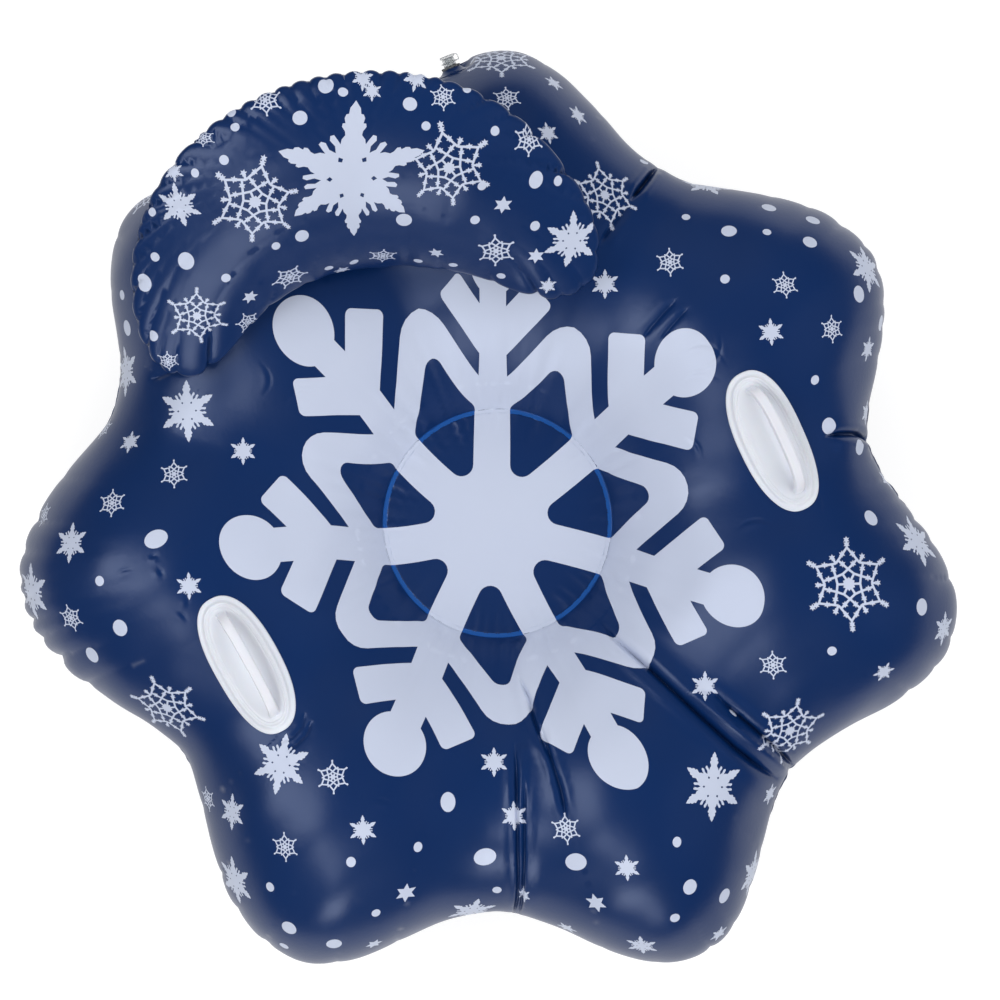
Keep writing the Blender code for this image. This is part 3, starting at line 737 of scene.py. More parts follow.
topFilm = Film(tubeShape(1), 1)
lowFilm = Film(tubeShape(-1), -1)

# A lattice of triangles covers the flat sheets
rowShare = 0.866
flatReach = dict(tube=0.66, backrest=0.34)


def lattice(reach, step):
    rows = int(reach / (step * rowShare)) + 1
    points = []
    for row in range(-rows, rows + 1):
        xs = np.arange(-reach, reach, step) + (row % 2) * step / 2
        points.append(np.stack([xs, np.full(len(xs), row * step * rowShare)], axis=1))
    return np.concatenate(points)


def tubeLattice(step, margin):
    points = lattice(flatReach["tube"], step)
    radius, angle = radiusAngle(points)
    return points[radius < flatRim(angle) - margin]


topFilm.prepare(tubeLattice(0.006, 0.004))
for fold in tubeFolds:
    foldLines.append((fold, topFilm.find(fold["line"])))
for roll in tubeRolls:
    rollLines.append((roll, topFilm.find(roll["line"])))
draw = np.random.default_rng(4)
for x, y, length, depth in tubeDents:
    turn = draw.uniform(0, math.pi)
    dentPlaces.append((topFilm.find([(x, y)])[0], length, depth, np.array([math.cos(turn), math.sin(turn)])))
print("film of the tube shaped")


# Printed ornament. An outline is a list of points; a mark is (outlines of ink, outlines of holes)
def turned(points, turn):
    c, s = math.cos(turn), math.sin(turn)
    return [(u * c - v * s, u * s + v * c) for u, v in points]


def strip(a, b, width):
    (ax, ay), (bx, by) = a, b
    length = math.hypot(bx - ax, by - ay)
    nx, ny = -(by - ay) / length * width / 2, (bx - ax) / length * width / 2
    return [(ax + nx, ay + ny), (ax - nx, ay - ny), (bx - nx, by - ny), (bx + nx, by + ny)]


def starOutline(centre, radius, inner, turn=0.0, points=6):
    outline = []
    for i in range(2 * points):
        r = radius if i % 2 == 0 else radius * inner
        a = turn + math.pi * i / points
        outline.append((centre[0] + r * math.cos(a), centre[1] + r * math.sin(a)))
    return outline


def grown(outlines, size):
    return [[(u * size, v * size) for u, v in outline] for outline in outlines]


def dotMark(wide, high, lean, count=28):
    turns = [2 * math.pi * i / count for i in range(count)]
    outline = [(wide * math.cos(a), high * math.sin(a)) for a in turns]
    return [turned(outline, math.radians(lean))], []


# One half arm from the notch between two arms out to the tip, for the solid flakes
leafArm = ((0.450, 0.213), (0.530, 0.274), (0.588, 0.268), (0.598, 0.226), (0.525, 0.180), (0.472, 0.150),
           (0.535, 0.138), (0.590, 0.096), (0.640, 0.104), (0.695, 0.138), (0.735, 0.130), (0.738, 0.100),
           (0.800, 0.112), (0.842, 0.094), (0.848, 0.066), (0.915, 0.056))
leafNotch = ((0.415, 0.0),)
leafPit = ((0.262, 0.0), (0.297, 0.036), (0.345, 0.0), (0.297, -0.036))
pitsFrom = 16


# Six arms round a solid middle, with pits in the larger ones
def leafMark(radius):
    outline = []
    holes = []
    arm = [(u, -v) for u, v in leafArm] + [(1.0, 0.0)] + list(reversed(leafArm))
    for i in range(6):
        turn = math.pi / 3 * i
        outline += turned(arm, turn) + turned(leafNotch, turn + math.pi / 6)
        if radius > pitsFrom:
            holes.append(turned(leafPit, turn + math.pi / 6))
    return grown([outline], radius), grown(holes, radius)


# A web: an outer star and an inner one, tied by struts; the large ones carry a small star at each
# knot. Places are (share of the radius, degrees from the arm).
laceLines = (((0.0, 30), (0.25, 30)), ((0.32, 0), (0.25, 30)), ((0.32, 0), (0.56, 22)),
             ((0.79, 0), (0.52, 30)), ((0.52, 30), (0.66, 30)), ((0.79, 0), (0.96, 0)))
laceKnots = ((0.96, 0), (0.86, 0), (0.66, 10), (0.67, 30), (0.45, 15))
laceStyle = dict(lace=dict(width=0.088, knot=0.070, inner=0.8, knots=laceKnots[:1]),
                 chain=dict(width=0.050, knot=0.080, inner=0.50, knots=laceKnots))


def onArm(share, degrees, side=1):
    return share * math.cos(math.radians(degrees)), side * share * math.sin(math.radians(degrees))


def laceMark(radius, kind):
    style = laceStyle[kind]
    ink = []
    for i in range(6):
        turn = math.pi / 3 * i
        for side in (-1, 1):
            for a, b in laceLines:
                ink.append(turned(strip(onArm(*a, side), onArm(*b, side), style["width"]), turn))
            for share, degrees in style["knots"]:
                centre = turned([onArm(share, degrees, side)], turn)[0]
                ink.append(starOutline(centre, style["knot"], style["inner"], turn))
    ink.append(starOutline((0.0, 0.0), 0.15, 0.70))
    return grown(ink, radius), []


def starMark(radius):
    return grown([starOutline((0.0, 0.0), 1.0, 0.52)], radius), []


markMakers = dict(leaf=leafMark, lace=lambda radius: laceMark(radius, "lace"),
                  chain=lambda radius: laceMark(radius, "chain"), star=starMark)


# Places of the small marks as the image shows them: x, y, radius in pixels, lean in degrees
leaves = (
    (706, 186, 26, 0), (867, 268, 27, -14), (917, 541, 30, -12), (713, 787, 35, -4), (752, 874, 25, 8),
    (472, 911, 25, 0), (281, 764, 31, -8), (235, 881, 27, -10), (32, 592, 30, -6), (187, 411, 31, 2),
    (126, 372, 26, 6), (944, 629, 18, 4), (232, 812, 19, -6), (71, 543, 21, 2), (642, 946, 17, -4),
    (771, 332, 14, 4), (868, 349, 13, 2), (866, 413, 13, 0), (889, 480, 14, -20), (705, 686, 15, 0),
    (770, 794, 12, 8), (627, 868, 14, 2), (494, 762, 15, 0), (514, 816, 15, 2), (524, 895, 11, -30),
    (719, 934, 11, 16), (363, 830, 15, 2), (189, 586, 14, 2), (130, 442, 12.5, 4), (243, 451, 14, 0),
    (578, 115, 12, -14), (548, 133, 12, 6), (605, 284, 15, 0), (554, 83, 11, -10), (884, 672, 12, -10),
    (567, 928, 11, 0),
)
laces = (
    (670, 262, 15, 4), (785, 285, 14, 4), (832, 329, 14, 6), (773, 665, 15, 2), (566, 829, 16, 6),
    (333, 777, 17, 4), (285, 847, 15, 2), (208, 799, 13, 0), (71, 618, 14.5, 8), (105, 429, 12, 4),
    (174, 474, 15, 4), (112, 503, 15, 6), (44, 515, 13, 8), (507, 98, 15, 4),
)
chains = (
    (849, 584, 47, 2), (790, 731, 38, -2), (167, 708, 40, 8), (501, 58, 38, 4), (605, 195, 36, 8),
    (148, 193, 28, 0),
)
stars = ((596, 903, 11.5, 6), (406, 893, 11.5, 4), (374, 944, 9, 0))
tubeDots = (
    (686, 217, 4.3, 4.0, 0), (729, 231, 7.8, 6.9, 0), (769, 207.5, 7.6, 7.0, 0), (767, 232, 4.4, 4.2, 0),
    (813, 220, 7.6, 7.0, 0), (810, 242, 7.6, 7.0, 0), (725, 279, 4.8, 4.8, 0), (859, 294, 7.8, 8.6, 0),
    (815, 380, 4.6, 5.0, 0), (829, 426, 8.2, 8.4, 0), (860, 447, 7.6, 8.2, 0), (871, 518, 7.4, 8.6, 0),
    (922, 607, 7.8, 8.6, 0), (733, 713, 4.8, 4.8, 0), (832, 651, 4.8, 4.8, 0), (677, 842, 4.6, 5.4, 0),
    (576, 862, 11.4, 9.2, 14), (690, 887, 7.4, 8.2, 0), (724.5, 896, 7.2, 8.2, 0), (675, 918, 5.0, 5.2, 0),
    (448, 802, 7.6, 10.0, 0), (485, 857, 11.4, 9.4, 20), (497, 890, 4.6, 4.8, 0), (270, 887, 4.8, 5.0, 0),
    (351, 862, 4.8, 5.4, 0), (418, 847, 4.6, 5.4, 0), (376, 913, 4.6, 4.8, 0), (289, 928, 8.0, 8.2, 0),
    (334, 944, 7.8, 8.0, 0), (99.5, 581, 4.8, 5.2, 0), (120, 628, 7.6, 9.0, 0), (92, 655, 7.4, 8.8, 0),
    (156, 539, 12.2, 9.0, 24), (644, 162, 4.6, 4.6, 0), (127, 328, 7.0, 8.0, 0), (122, 295, 5.0, 5.0, 0),
    (881, 323, 7.0, 8.0, 0), (284, 946, 5.0, 5.0, 0),
)


# A mark near the rim is stretched no more than this on the sheet
mostStretch = 2.2


# Puts marks on a film: each as outlines of ink and of holes in flat places
def layMarks(film, marks):
    ink, holes = [], []
    centres = film.find([(x, y) for x, y, _ in marks])
    east, north = (atMost(way, mostStretch) for way in film.layers(centres))
    scale = (cameraSizes["height"] - film.shape(centres)[:, 2]) / focal
    for centre, right, up, size, (_, _, (inkParts, holeParts)) in zip(centres, east, north, scale, marks):
        for parts, kept in ((inkParts, ink), (holeParts, holes)):
            for outline in parts:
                offsets = np.array(outline) * size
                kept.append(centre + offsets[:, :1] * right + offsets[:, 1:] * up)
    return ink, holes


def upright(mark, lean):
    turn = math.pi / 2 + math.radians(lean)
    return tuple([turned(outline, turn) for outline in parts] for parts in mark)


def gatherMarks(groups, dots):
    marks = []
    for kind, places in groups:
        for x, y, radius, lean in places:
            marks.append((x, y, upright(markMakers[kind](radius), lean)))
    for x, y, wide, high, lean in dots:
        marks.append((x, y, dotMark(wide, high, lean)))
    return marks


# The great snowflake over the seat: seven arms with a ball at the tip. Each arm's branches and
# the petals between the arms run along the neighbouring arms. Sizes on the flat sheet, in
# metres; the film stretches it unevenly, so arms and petals have their own angle and reach.
flake = dict(
    arms=(-60.7, -16.1, 40.5, 90.0, 133.9, 184.2, 245.9),
    petals=(-40.0, 12.3, 67.6, 108.4, 156.8, 215.7, 275.0),
    armReach=(1.053, 1.006, 1.014, 1.060, 1.084, 0.971, 0.957),
    petalReach=(1.040, 1.003, 1.080, 1.146, 1.025, 0.915, 0.985),
    middle=(-0.0067, -0.0050), first=-64.9, warpFrom=0.06, warpTo=0.22, step=0.003,
    stem=0.0181, gapSide=0.0193, hole=0.0854, petal=0.1167, branch=(0.136, 0.1775), end=0.204,
    ball=0.2856, ballSize=0.034, ballSteps=72, tipRound=0.0067, petalRound=0.030,
    holeRounds=(0.0125, 0.011, 0.011, 0.011),
)
seventh = 2 * math.pi / 7


def rounded(points, radii, count=8):
    result = []
    for i, (point, radius) in enumerate(zip(points, radii)):
        here = Vector(point)
        before = Vector(points[i - 1]) - here
        after = Vector(points[(i + 1) % len(points)]) - here
        if radius <= 0:
            result.append(point)
            continue
        half = before.angle(after) / 2
        back = min(radius / math.tan(half), 0.48 * before.length, 0.48 * after.length)
        size = back * math.tan(half)
        way = (before.normalized() + after.normalized()).normalized()
        centre = here + way * size / math.sin(half)
        a, b = here + before.normalized() * back - centre, here + after.normalized() * back - centre
        turn = a.angle_signed(b)
        for j in range(count + 1):
            c, s = math.cos(-turn * j / count), math.sin(-turn * j / count)
            result.append((centre.x + a.x * c - a.y * s, centre.y + a.x * s + a.y * c))
    return result


def closeLine(points, step):
    result = []
    for a, b in zip(points, points[1:] + points[:1]):
        a, b = Vector(a), Vector(b)
        count = max(1, int((b - a).length / step))
        result += [tuple(a.lerp(b, i / count)) for i in range(count)]
    return result


# Outlines of one seventh, with an arm along +X and the next arm a seventh of a turn from it
def flakeParts():
    sine, cosine = math.sin(seventh), math.cos(seventh)

    # The point at these distances from the two arms' axes
    def between(first, second):
        return ((first * cosine + second) / sine, first)

    stem, hole, petal = flake["stem"], flake["hole"], flake["petal"]
    low, high = flake["branch"]
    end = flake["end"]
    bar = [(0.0, stem), (0.0, -stem), (flake["ball"], -stem), (flake["ball"], stem)]
    turns = [2 * math.pi * i / flake["ballSteps"] for i in range(flake["ballSteps"])]
    ball = [(flake["ball"] + flake["ballSize"] * math.cos(a), flake["ballSize"] * math.sin(a)) for a in turns]
    tips = [(end * cosine + d * sine, end * sine - d * cosine) for d in (low, high)]
    branch = [(low / sine, 0.0), (high / sine, 0.0), tips[1], tips[0]]
    branch = rounded(branch, (0.0, 0.0, flake["tipRound"], flake["tipRound"]))
    mirror = [(u, -v) for u, v in reversed(branch)]
    leaf = rounded([(0.0, 0.0), between(0.0, petal), between(petal, petal), between(petal, 0.0)],
                   (0.0, 0.0, flake["petalRound"], 0.0))
    side = flake["gapSide"]
    gap = rounded([between(side, side), between(side, hole), between(hole, hole), between(hole, side)],
                  flake["holeRounds"])
    return [bar, ball, branch, mirror, leaf], [gap]


# An outline turned anticlockwise, with no long steps
def finer(outline, step=0.003):
    following = np.roll(outline, -1, axis=0)
    if np.sum(outline[:, 0] * following[:, 1] - outline[:, 1] * following[:, 0]) < 0:
        outline = outline[::-1]
        following = np.roll(outline, -1, axis=0)
    counts = np.maximum(1, (np.linalg.norm(following - outline, axis=1) / step).astype(int))
    parts = []
    for a, b, count in zip(outline, following, counts):
        s = np.arange(count)[:, None] / count
        parts.append(a * (1 - s) + b * s)
    return np.concatenate(parts)


# An outline of the great snowflake on the flat sheet. The angles and reaches of arms and petals
# follow one another round the sheet, and run on past both ends of a full turn.
def flakeFlat(arm, outline):
    radius, angle = radiusAngle(np.array(closeLine([tuple(p) for p in outline], flake["step"])))
    place = arm + angle / seventh
    halves = np.arange(-4, 20)
    angles, reaches = (np.stack(pair, axis=1).ravel()[halves % 14] for pair in (
        (flake["arms"], flake["petals"]), (flake["armReach"], flake["petalReach"])))
    angles = np.interp(place, halves / 2, angles + 360.0 * (halves // 14))
    blend = smoothStep(radius, flake["warpFrom"], flake["warpTo"])
    even = flake["first"] + place * 360 / 7
    angle = np.radians(even * (1 - blend) + angles * blend + cameraSizes["turn"])
    far = radius * (1 + (np.interp(place, halves / 2, reaches) - 1) * blend)
    return polar(far, angle) + turned([flake["middle"]], math.radians(cameraSizes["turn"]))


def greatFlake():
    return [[flakeFlat(arm, outline) for arm in range(7) for outline in group] for group in flakeParts()]


# Triangles over a flat area: rim outline first, then loose points, ink and holes as outlines
def layTriangles(rim, loose, ink, holes, clear=0.0013):
    ink = [finer(outline) for outline in ink]
    holes = [finer(outline) for outline in holes]
    lines = ink + holes
    if lines:
        tree = treeOf(np.concatenate(lines))
        loose = np.array([p for p in loose if tree.find((p[0], p[1], 0.0))[2] > clear])
    points = [rim] + lines + [loose]
    verts = [Vector(p) for p in np.concatenate(points)]
    faces = []
    start = 0
    for part in points[:-1]:
        faces.append(list(range(start, start + len(part))))
        start += len(part)
    flat, _, triangles, originals, _, kept = delaunay_2d_cdt(verts, [], faces, 0, 1e-7, True)
    flat = np.array([(v.x, v.y) for v in flat])
    where = {}
    for new, olds in enumerate(originals):
        for old in olds:
            if old < len(rim):
                where[old] = new
    inkFaces = set(range(1, 1 + len(ink)))
    holeFaces = set(range(1 + len(ink), 1 + len(ink) + len(holes)))
    result, inked = [], []
    for triangle, owners in zip(triangles, kept):
        owners = set(owners)
        if 0 not in owners:
            continue
        a, b, c = (flat[i] for i in triangle)
        if abs((b[0] - a[0]) * (c[1] - a[1]) - (b[1] - a[1]) * (c[0] - a[0])) < 1e-12:
            continue
        result.append(triangle)
        inked.append(bool(owners & inkFaces) and not owners & holeFaces)
    return flat, result, np.array(inked), [where[i] for i in range(len(rim))]


# Rows of flat places beside a rim: how far in they lie, all columns and then every other one
rims = dict(step=0.0022, rows=(0.0015, 0.003, 0.005, 0.008), wideRows=(0.012, 0.0165, 0.022, 0.028),
            within=dict(tube=0.032, backrest=0.026))
# Circles of flat places at the weld round the seat: radius and count
weldCircles = ((0.1145, 240), (0.1155, 300), (0.1165, 240), (0.1180, 240), (0.1195, 240), (0.1205, 300),
               (0.1225, 240))
weldClear = (0.1125, 0.1245)
# Close places along the creases: lines at these distances, and a fine lattice beyond them
creaseMesh = dict(step=0.0016, off=(0.0, 0.0008, -0.0008, 0.0018, -0.0018, 0.0031, -0.0031),
                  lattice=0.002, margin=0.010, least=0.0042, widths=3.5, dentLengths=1.6)


def creasePoints():
    near = []
    grid = tubeLattice(creaseMesh["lattice"], creaseMesh["margin"])
    for fold, line in foldLines:
        box = grid[closeTo(grid, line.mean(axis=0), crease["reach"])]
        away, _ = nearLine(box, line)
        near.append(box[(away < creaseMesh["widths"] * fold["width"]) & (away > creaseMesh["least"])])
        dense = finer(np.concatenate([line, line[-2:0:-1]]), creaseMesh["step"])
        dense = dense[:len(dense) // 2]
        way = unit(np.gradient(dense, axis=0))
        side = np.stack([-way[:, 1], way[:, 0]], axis=1)
        near += [dense + side * off for off in creaseMesh["off"]]
    for centre, length, _, _ in dentPlaces:
        near.append(grid[np.linalg.norm(grid - centre, axis=1) < creaseMesh["dentLengths"] * length])
    return np.unique(np.concatenate(near), axis=0)


# Flat places over one sheet of the tube: its rim, the rim's angles, and loose ones inside
def tubePoints(spacing):
    count = int(rimTotal / rims["step"])
    columns = np.interp(np.arange(count) * rimTotal / count, rimLengths, rimAngles)
    edge = flatRim(columns)
    loose = [polar(edge - row, columns) for row in rims["rows"]]
    loose += [polar(edge[::2] - row, columns[::2]) for row in rims["wideRows"]]
    inside = tubeLattice(spacing, rims["within"]["tube"])
    radius = radiusAngle(inside)[0]
    loose.append(inside[(radius < weldClear[0]) | (radius > weldClear[1])])
    for radius, count in weldCircles:
        turn = 0.5 if count == weldCircles[0][1] else 0.0
        loose.append(polar(radius, 2 * math.pi * (np.arange(count) + turn) / count))
    return polar(edge, columns), columns, np.concatenate(loose)


# The weld round the seat shows as a brighter ring on the top sheet, no deeper than this
weldDepth = 0.004


def paintWeld(piece):
    mesh = piece.data
    centres = np.zeros(len(mesh.polygons) * 3)
    mesh.polygons.foreach_get("center", centres)
    centres = centres.reshape(-1, 3)
    slots = np.zeros(len(mesh.polygons), dtype=np.int32)
    mesh.polygons.foreach_get("material_index", slots)
    radius = np.hypot(centres[:, 0], centres[:, 1])
    inner, outer = tube["weldRing"]
    ring = (radius > inner) & (radius < outer) & (slots == 0) & (centres[:, 2] > -weldDepth)
    slots[ring] = 2
    mesh.polygons.foreach_set("material_index", slots)


# Closed skin of two films that meet at a rim, with the welded flange between them
def closedSkin(name, top, low, topSheet, lowSheet, flangeEdge, edgeUp):
    topFlat, topTriangles, topInk, topRim = topSheet
    lowFlat, lowTriangles, _, lowRim = lowSheet
    half = edgeUp * (2 * tube["film"] + tube["gap"]) / 2
    spaceTop, spaceLow = top.shape(topFlat), low.shape(lowFlat)
    points = np.concatenate([spaceTop, spaceLow, flangeEdge + half, flangeEdge - half])
    normals = np.concatenate([top.normals(topFlat), low.normals(lowFlat), edgeUp, -edgeUp])
    base, edge, count = len(spaceTop), len(spaceTop) + len(spaceLow), len(topRim)
    faces = [tuple(t) for t in topTriangles]
    faces += [(a + base, c + base, b + base) for a, b, c in lowTriangles]
    rows = (topRim, list(range(edge, edge + count)), list(range(edge + count, edge + 2 * count)),
            [i + base for i in lowRim])
    for one, other in zip(rows, rows[1:]):
        faces += ringFaces(one, other)
    slots = list(topInk.astype(int)) + [0] * (len(faces) - len(topTriangles))
    piece = newPiece(name, points, faces, (navyFilm, paleInk, weldFilm), slots)
    paintWeld(piece)
    piece.data.normals_split_custom_set_from_vertices([tuple(n) for n in normals])
    print(name, len(points), "points", len(faces), "faces")
    return piece


# The flange's edge ruffles up and down, and is drawn in a little at each pucker
def flangeOf(columns):
    along = alongRim(columns)[:, None]
    place = placeAt(columns)
    wave = swell(along, 0.020, 21, 30) * 0.7 + swell(along, 0.055, 22, 20) * 0.6
    reach = rimRadius(place) + tube["flange"] - tube["pullShare"] * rimPull(columns, zeros(columns))
    reach = reach + tube["jagged"] * swell(along, 0.018, 23, 20) - tube["edgeIn"]
    z = midZ + tube["ruffle"] * wave * (0.25 + 0.75 * lobeness(place))
    return np.column_stack([polar(reach, columns), z])


ink, holes = greatFlake()
tubeGroups = (("leaf", leaves), ("lace", laces), ("chain", chains), ("star", stars))
smallInk, smallHoles = layMarks(topFilm, gatherMarks(tubeGroups, tubeDots))
rim, columns, loose = tubePoints(0.006)
loose = addCollarRings(topFilm, "main", np.concatenate([loose, creasePoints()]))
topSheet = layTriangles(rim, loose, ink + smallInk, holes + smallHoles)
print("print laid on the tube:", len(topSheet[1]), "triangles")
rim, columns, loose = tubePoints(0.010)
lowSheet = layTriangles(rim, loose, [], [])
up = np.tile([0.0, 0.0, 1.0], (len(columns), 1))
tubeSkin = closedSkin("tubeSkin", topFilm, lowFilm, topSheet, lowSheet, flangeOf(columns), up)
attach(tubeSkin, "tube")
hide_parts("tube_top_sheet", "tube_bottom_sheet")
print("tube made")


# Film of the backrest, in its own frame: the origin is the centre of the crescent's arc
backrest = dict(
    reach=0.181, angle=100.2, axisAngle=75.9, arc=0.2053, halfSpan=71.0, halfWidth=0.112, endHalfWidth=0.068,
    depth=0.055, roundness=0.6, squareness=0.8, tilt=40.0, endTilt=8.0, clearance=0.002,
    valleySink=0.018, valleyShare=0.50, tipSink=0.010, tipPower=16, flange=0.008,
    bulge=(0.0200, 0.0030), bulgeRise=0.0048, bulgeRun=0.026,
    puckerDepth=0.0078, puckerWidth=0.0036, puckerSpread=0.13, puckerRun=(0.011, 0.024), pullShare=0.85,
    ruffle=0.0010, edgeIn=0.0030, swell=0.0007, swellLength=0.11, swellFade=(0.0, 0.02),
    fan=0.0011, fanLength=0.036, fanRun=0.035, fanSide=(0.1, 0.7), fanFade=(0.0, 0.015),
    turnUp=(0.006, 0.035),
    places=(-1.0, -0.66, -0.33, 0.0, 0.33, 0.66, 0.85, 1.0),
    outer=(6.0, 5.0, -3.0, -8.5, -14.0, -22.0, -15.0, -6.0),
    inner=(8.0, 21.0, 15.0, 5.0, 4.0, 6.0, 0.0, -6.0), longer=(27.0, 8.0),
)
halfArc = backrest["arc"] * math.radians(backrest["halfSpan"])
normPower = 2 / backrest["squareness"]


def backrestMatrix():
    angle = math.radians(backrest["angle"])
    turn = math.radians(backrest["axisAngle"] - 90.0)
    c, s = math.cos(turn), math.sin(turn)
    matrix = np.array([[c, -s, 0.0], [s, c, 0.0], [0.0, 0.0, 1.0]])
    return matrix, np.array([backrest["reach"] * math.cos(angle), backrest["reach"] * math.sin(angle), 0.0])


backrestTurn, backrestOrigin = backrestMatrix()


def widthAt(along):
    s = np.minimum(1.0, np.abs(along) / halfArc)
    return backrest["halfWidth"] + (backrest["endHalfWidth"] - backrest["halfWidth"]) * s * s


def tiltAt(along):
    s = np.minimum(1.0, np.abs(along) / halfArc)
    return np.radians(backrest["tilt"] + (backrest["endTilt"] - backrest["tilt"]) * s * s)


def depthAt(share, along):
    return (backrest["depth"] * np.maximum(0.0, 1 - share**2) ** backrest["roundness"]
            * widthAt(along) / backrest["halfWidth"])


def liftAt(along):
    half, tilt = widthAt(along), tiltAt(along)
    end = np.minimum(1.0, np.abs(along) / halfArc)
    lowest = -(half + backrest["flange"]) * np.sin(tilt)
    for share in np.linspace(-1, 1, 41):
        depth = depthAt(np.minimum(1.0, np.hypot(share, end)), along)
        low = share * half * np.sin(tilt) - depth * np.cos(tilt)
        lowest = np.minimum(lowest, low)
    floor = midZ + seatStack + crownRise + tube["film"] + backrest["clearance"]
    sink = (backrest["valleySink"] * np.maximum(0.0, 1 - (end / backrest["valleyShare"]) ** 2) ** 2
            + backrest["tipSink"] * end ** backrest["tipPower"])
    return floor - sink - lowest


liftNodes = np.linspace(0.0, halfArc * 1.1, 400)
liftTable = liftAt(liftNodes)
sideShares = np.sin(np.linspace(0.0, math.pi / 2, 800))
sideArc = lengthsAlong(np.stack([sideShares, depthAt(sideShares, 0.0) / backrest["halfWidth"]], axis=1))
sideEnd = float(sideArc[-1])


# The outline is not quite even: its two edges are shifted across, and both wings run on, in millimetres
unevenPlaces = np.linspace(-1.2, 1.2, 241)


def softTable(values):
    window = np.hanning(25)
    table = np.interp(unevenPlaces, backrest["places"], values)
    return np.convolve(np.pad(table, 12, "edge"), window / window.sum(), "valid")


outerTable, innerTable = softTable(backrest["outer"]), softTable(backrest["inner"])


def unevenOutline(along, across):
    x = np.clip(along / halfArc, -1.1, 1.1)
    y = np.clip(across / widthAt(along), -1.0, 1.0)
    outer = np.interp(x, unevenPlaces, outerTable)
    inner = np.interp(x, unevenPlaces, innerTable)
    longer = np.where(x < 0, -backrest["longer"][0], backrest["longer"][1]) * np.minimum(np.abs(x), 1.0) ** 4
    return along + longer / 1000, across + (outer * (1 + y) + inner * (1 - y)) / 2000


def backrestPlace(along, across, off, even=False):
    longer, across = (along, across) if even else unevenOutline(along, across)
    turn = longer / backrest["arc"]
    outward = np.stack([np.sin(turn), np.cos(turn), zeros(turn)], axis=1)
    onward = np.stack([np.cos(turn), -np.sin(turn), zeros(turn)], axis=1)
    tilt = tiltAt(along)[:, None]
    raised = np.array([0.0, 0.0, 1.0])
    slope = outward * np.cos(tilt) + raised * np.sin(tilt)
    normal = raised * np.cos(tilt) - outward * np.sin(tilt)
    lift = np.interp(np.abs(along), liftNodes, liftTable)[:, None] * raised
    space = outward * backrest["arc"] + lift + slope * across[:, None] + normal * off[:, None]
    ways = (way @ backrestTurn.T for way in (onward, slope, normal))
    return space @ backrestTurn.T + backrestOrigin, *ways


def backrestNorm(u, v):
    return (np.abs(u) ** normPower + np.abs(v) ** normPower) ** (1 / normPower)


def outwardOf(x, y, along):
    gx = signedPower(x, normPower - 1) / halfArc
    gy = signedPower(y, normPower - 1) / widthAt(along)
    length = np.maximum(np.hypot(gx, gy), 1e-9)
    return gx / length, gy / length


# Distance along the backrest's rim weld, from the turn about its middle
rimTurns = np.linspace(-math.pi, math.pi, 3601)


def backrestRim(turn):
    x = signedPower(np.cos(turn), backrest["squareness"])
    y = signedPower(np.sin(turn), backrest["squareness"])
    return x, y


def backrestRimPlace(turn, out=0.0, off=0.0, even=False):
    x, y = backrestRim(turn)
    along = halfArc * x
    gx, gy = outwardOf(x, y, along)
    along2 = along + gx * out
    across = widthAt(along) * y + gy * out
    return backrestPlace(along2, across, zeros(along) + off, even)


edgePoints = backrestRimPlace(rimTurns)[0]
edgeLengths = lengthsAlong(edgePoints)
edgeTotal = float(edgeLengths[-1])


def alongBackrest(x, y):
    turn = np.arctan2(signedPower(y, 1 / backrest["squareness"]), signedPower(x, 1 / backrest["squareness"]))
    return np.interp(turn, rimTurns, edgeLengths)


# Puckers of the backrest, as image points on its edge with their depth
backrestCusps = (
    (487, 99, 1.0), (536, 136, 1.3), (569, 175, 1.3), (590, 254, 0.9), (597, 225, 0.5), (586, 203, 0.6),
    (564, 298, 0.9), (580, 284, 0.5), (542, 287, 1.4), (170, 164, 1.0), (157, 186, 0.6), (145, 208, 1.0),
    (141, 226, 0.5), (143.6, 244, 1.0), (140, 270, 0.6), (138.6, 297, 1.0), (142, 324, 0.7),
    (151, 349, 1.0), (164, 364, 0.6), (177, 375, 0.9), (200, 357, 1.4), (186, 128, 0.8), (196, 146, 0.7),
    (512, 116, 0.7), (239, 108, 0.8), (222, 118, 0.7), (205, 131, 0.7), (256, 100, 0.8), (273, 92, 0.9),
    (290, 86, 0.8), (308, 80, 0.9), (326, 75, 0.8), (344, 71, 0.9), (362, 68, 0.8), (382, 67, 1.0),
    (400, 69, 0.8), (416, 72, 0.8), (430, 76, 1.0), (446, 80, 0.7), (464, 88, 0.7), (240, 322, 0.5),
    (262, 303, 0.4), (300, 280, 0.3), (350, 265, 0.3), (400, 260, 0.3), (450, 262, 0.35), (500, 276, 0.5),
)
edgeSeen = seen(edgePoints)
cuspPlaces = []
for x, y, _ in backrestCusps:
    cuspPlaces.append(edgeLengths[np.argmin(np.hypot(edgeSeen[:, 0] - x, edgeSeen[:, 1] - y))])
draw = np.random.default_rng(17)
cuspRuns = draw.uniform(*backrest["puckerRun"], len(cuspPlaces))
backrestPuckers = Puckers(cuspPlaces, [depth for _, _, depth in backrestCusps], cuspRuns, edgeTotal)


def edgePull(lengths, up):
    pull = backrestPuckers.draw(lengths, up, backrest["puckerWidth"], backrest["puckerSpread"])
    return backrest["puckerDepth"] * pull


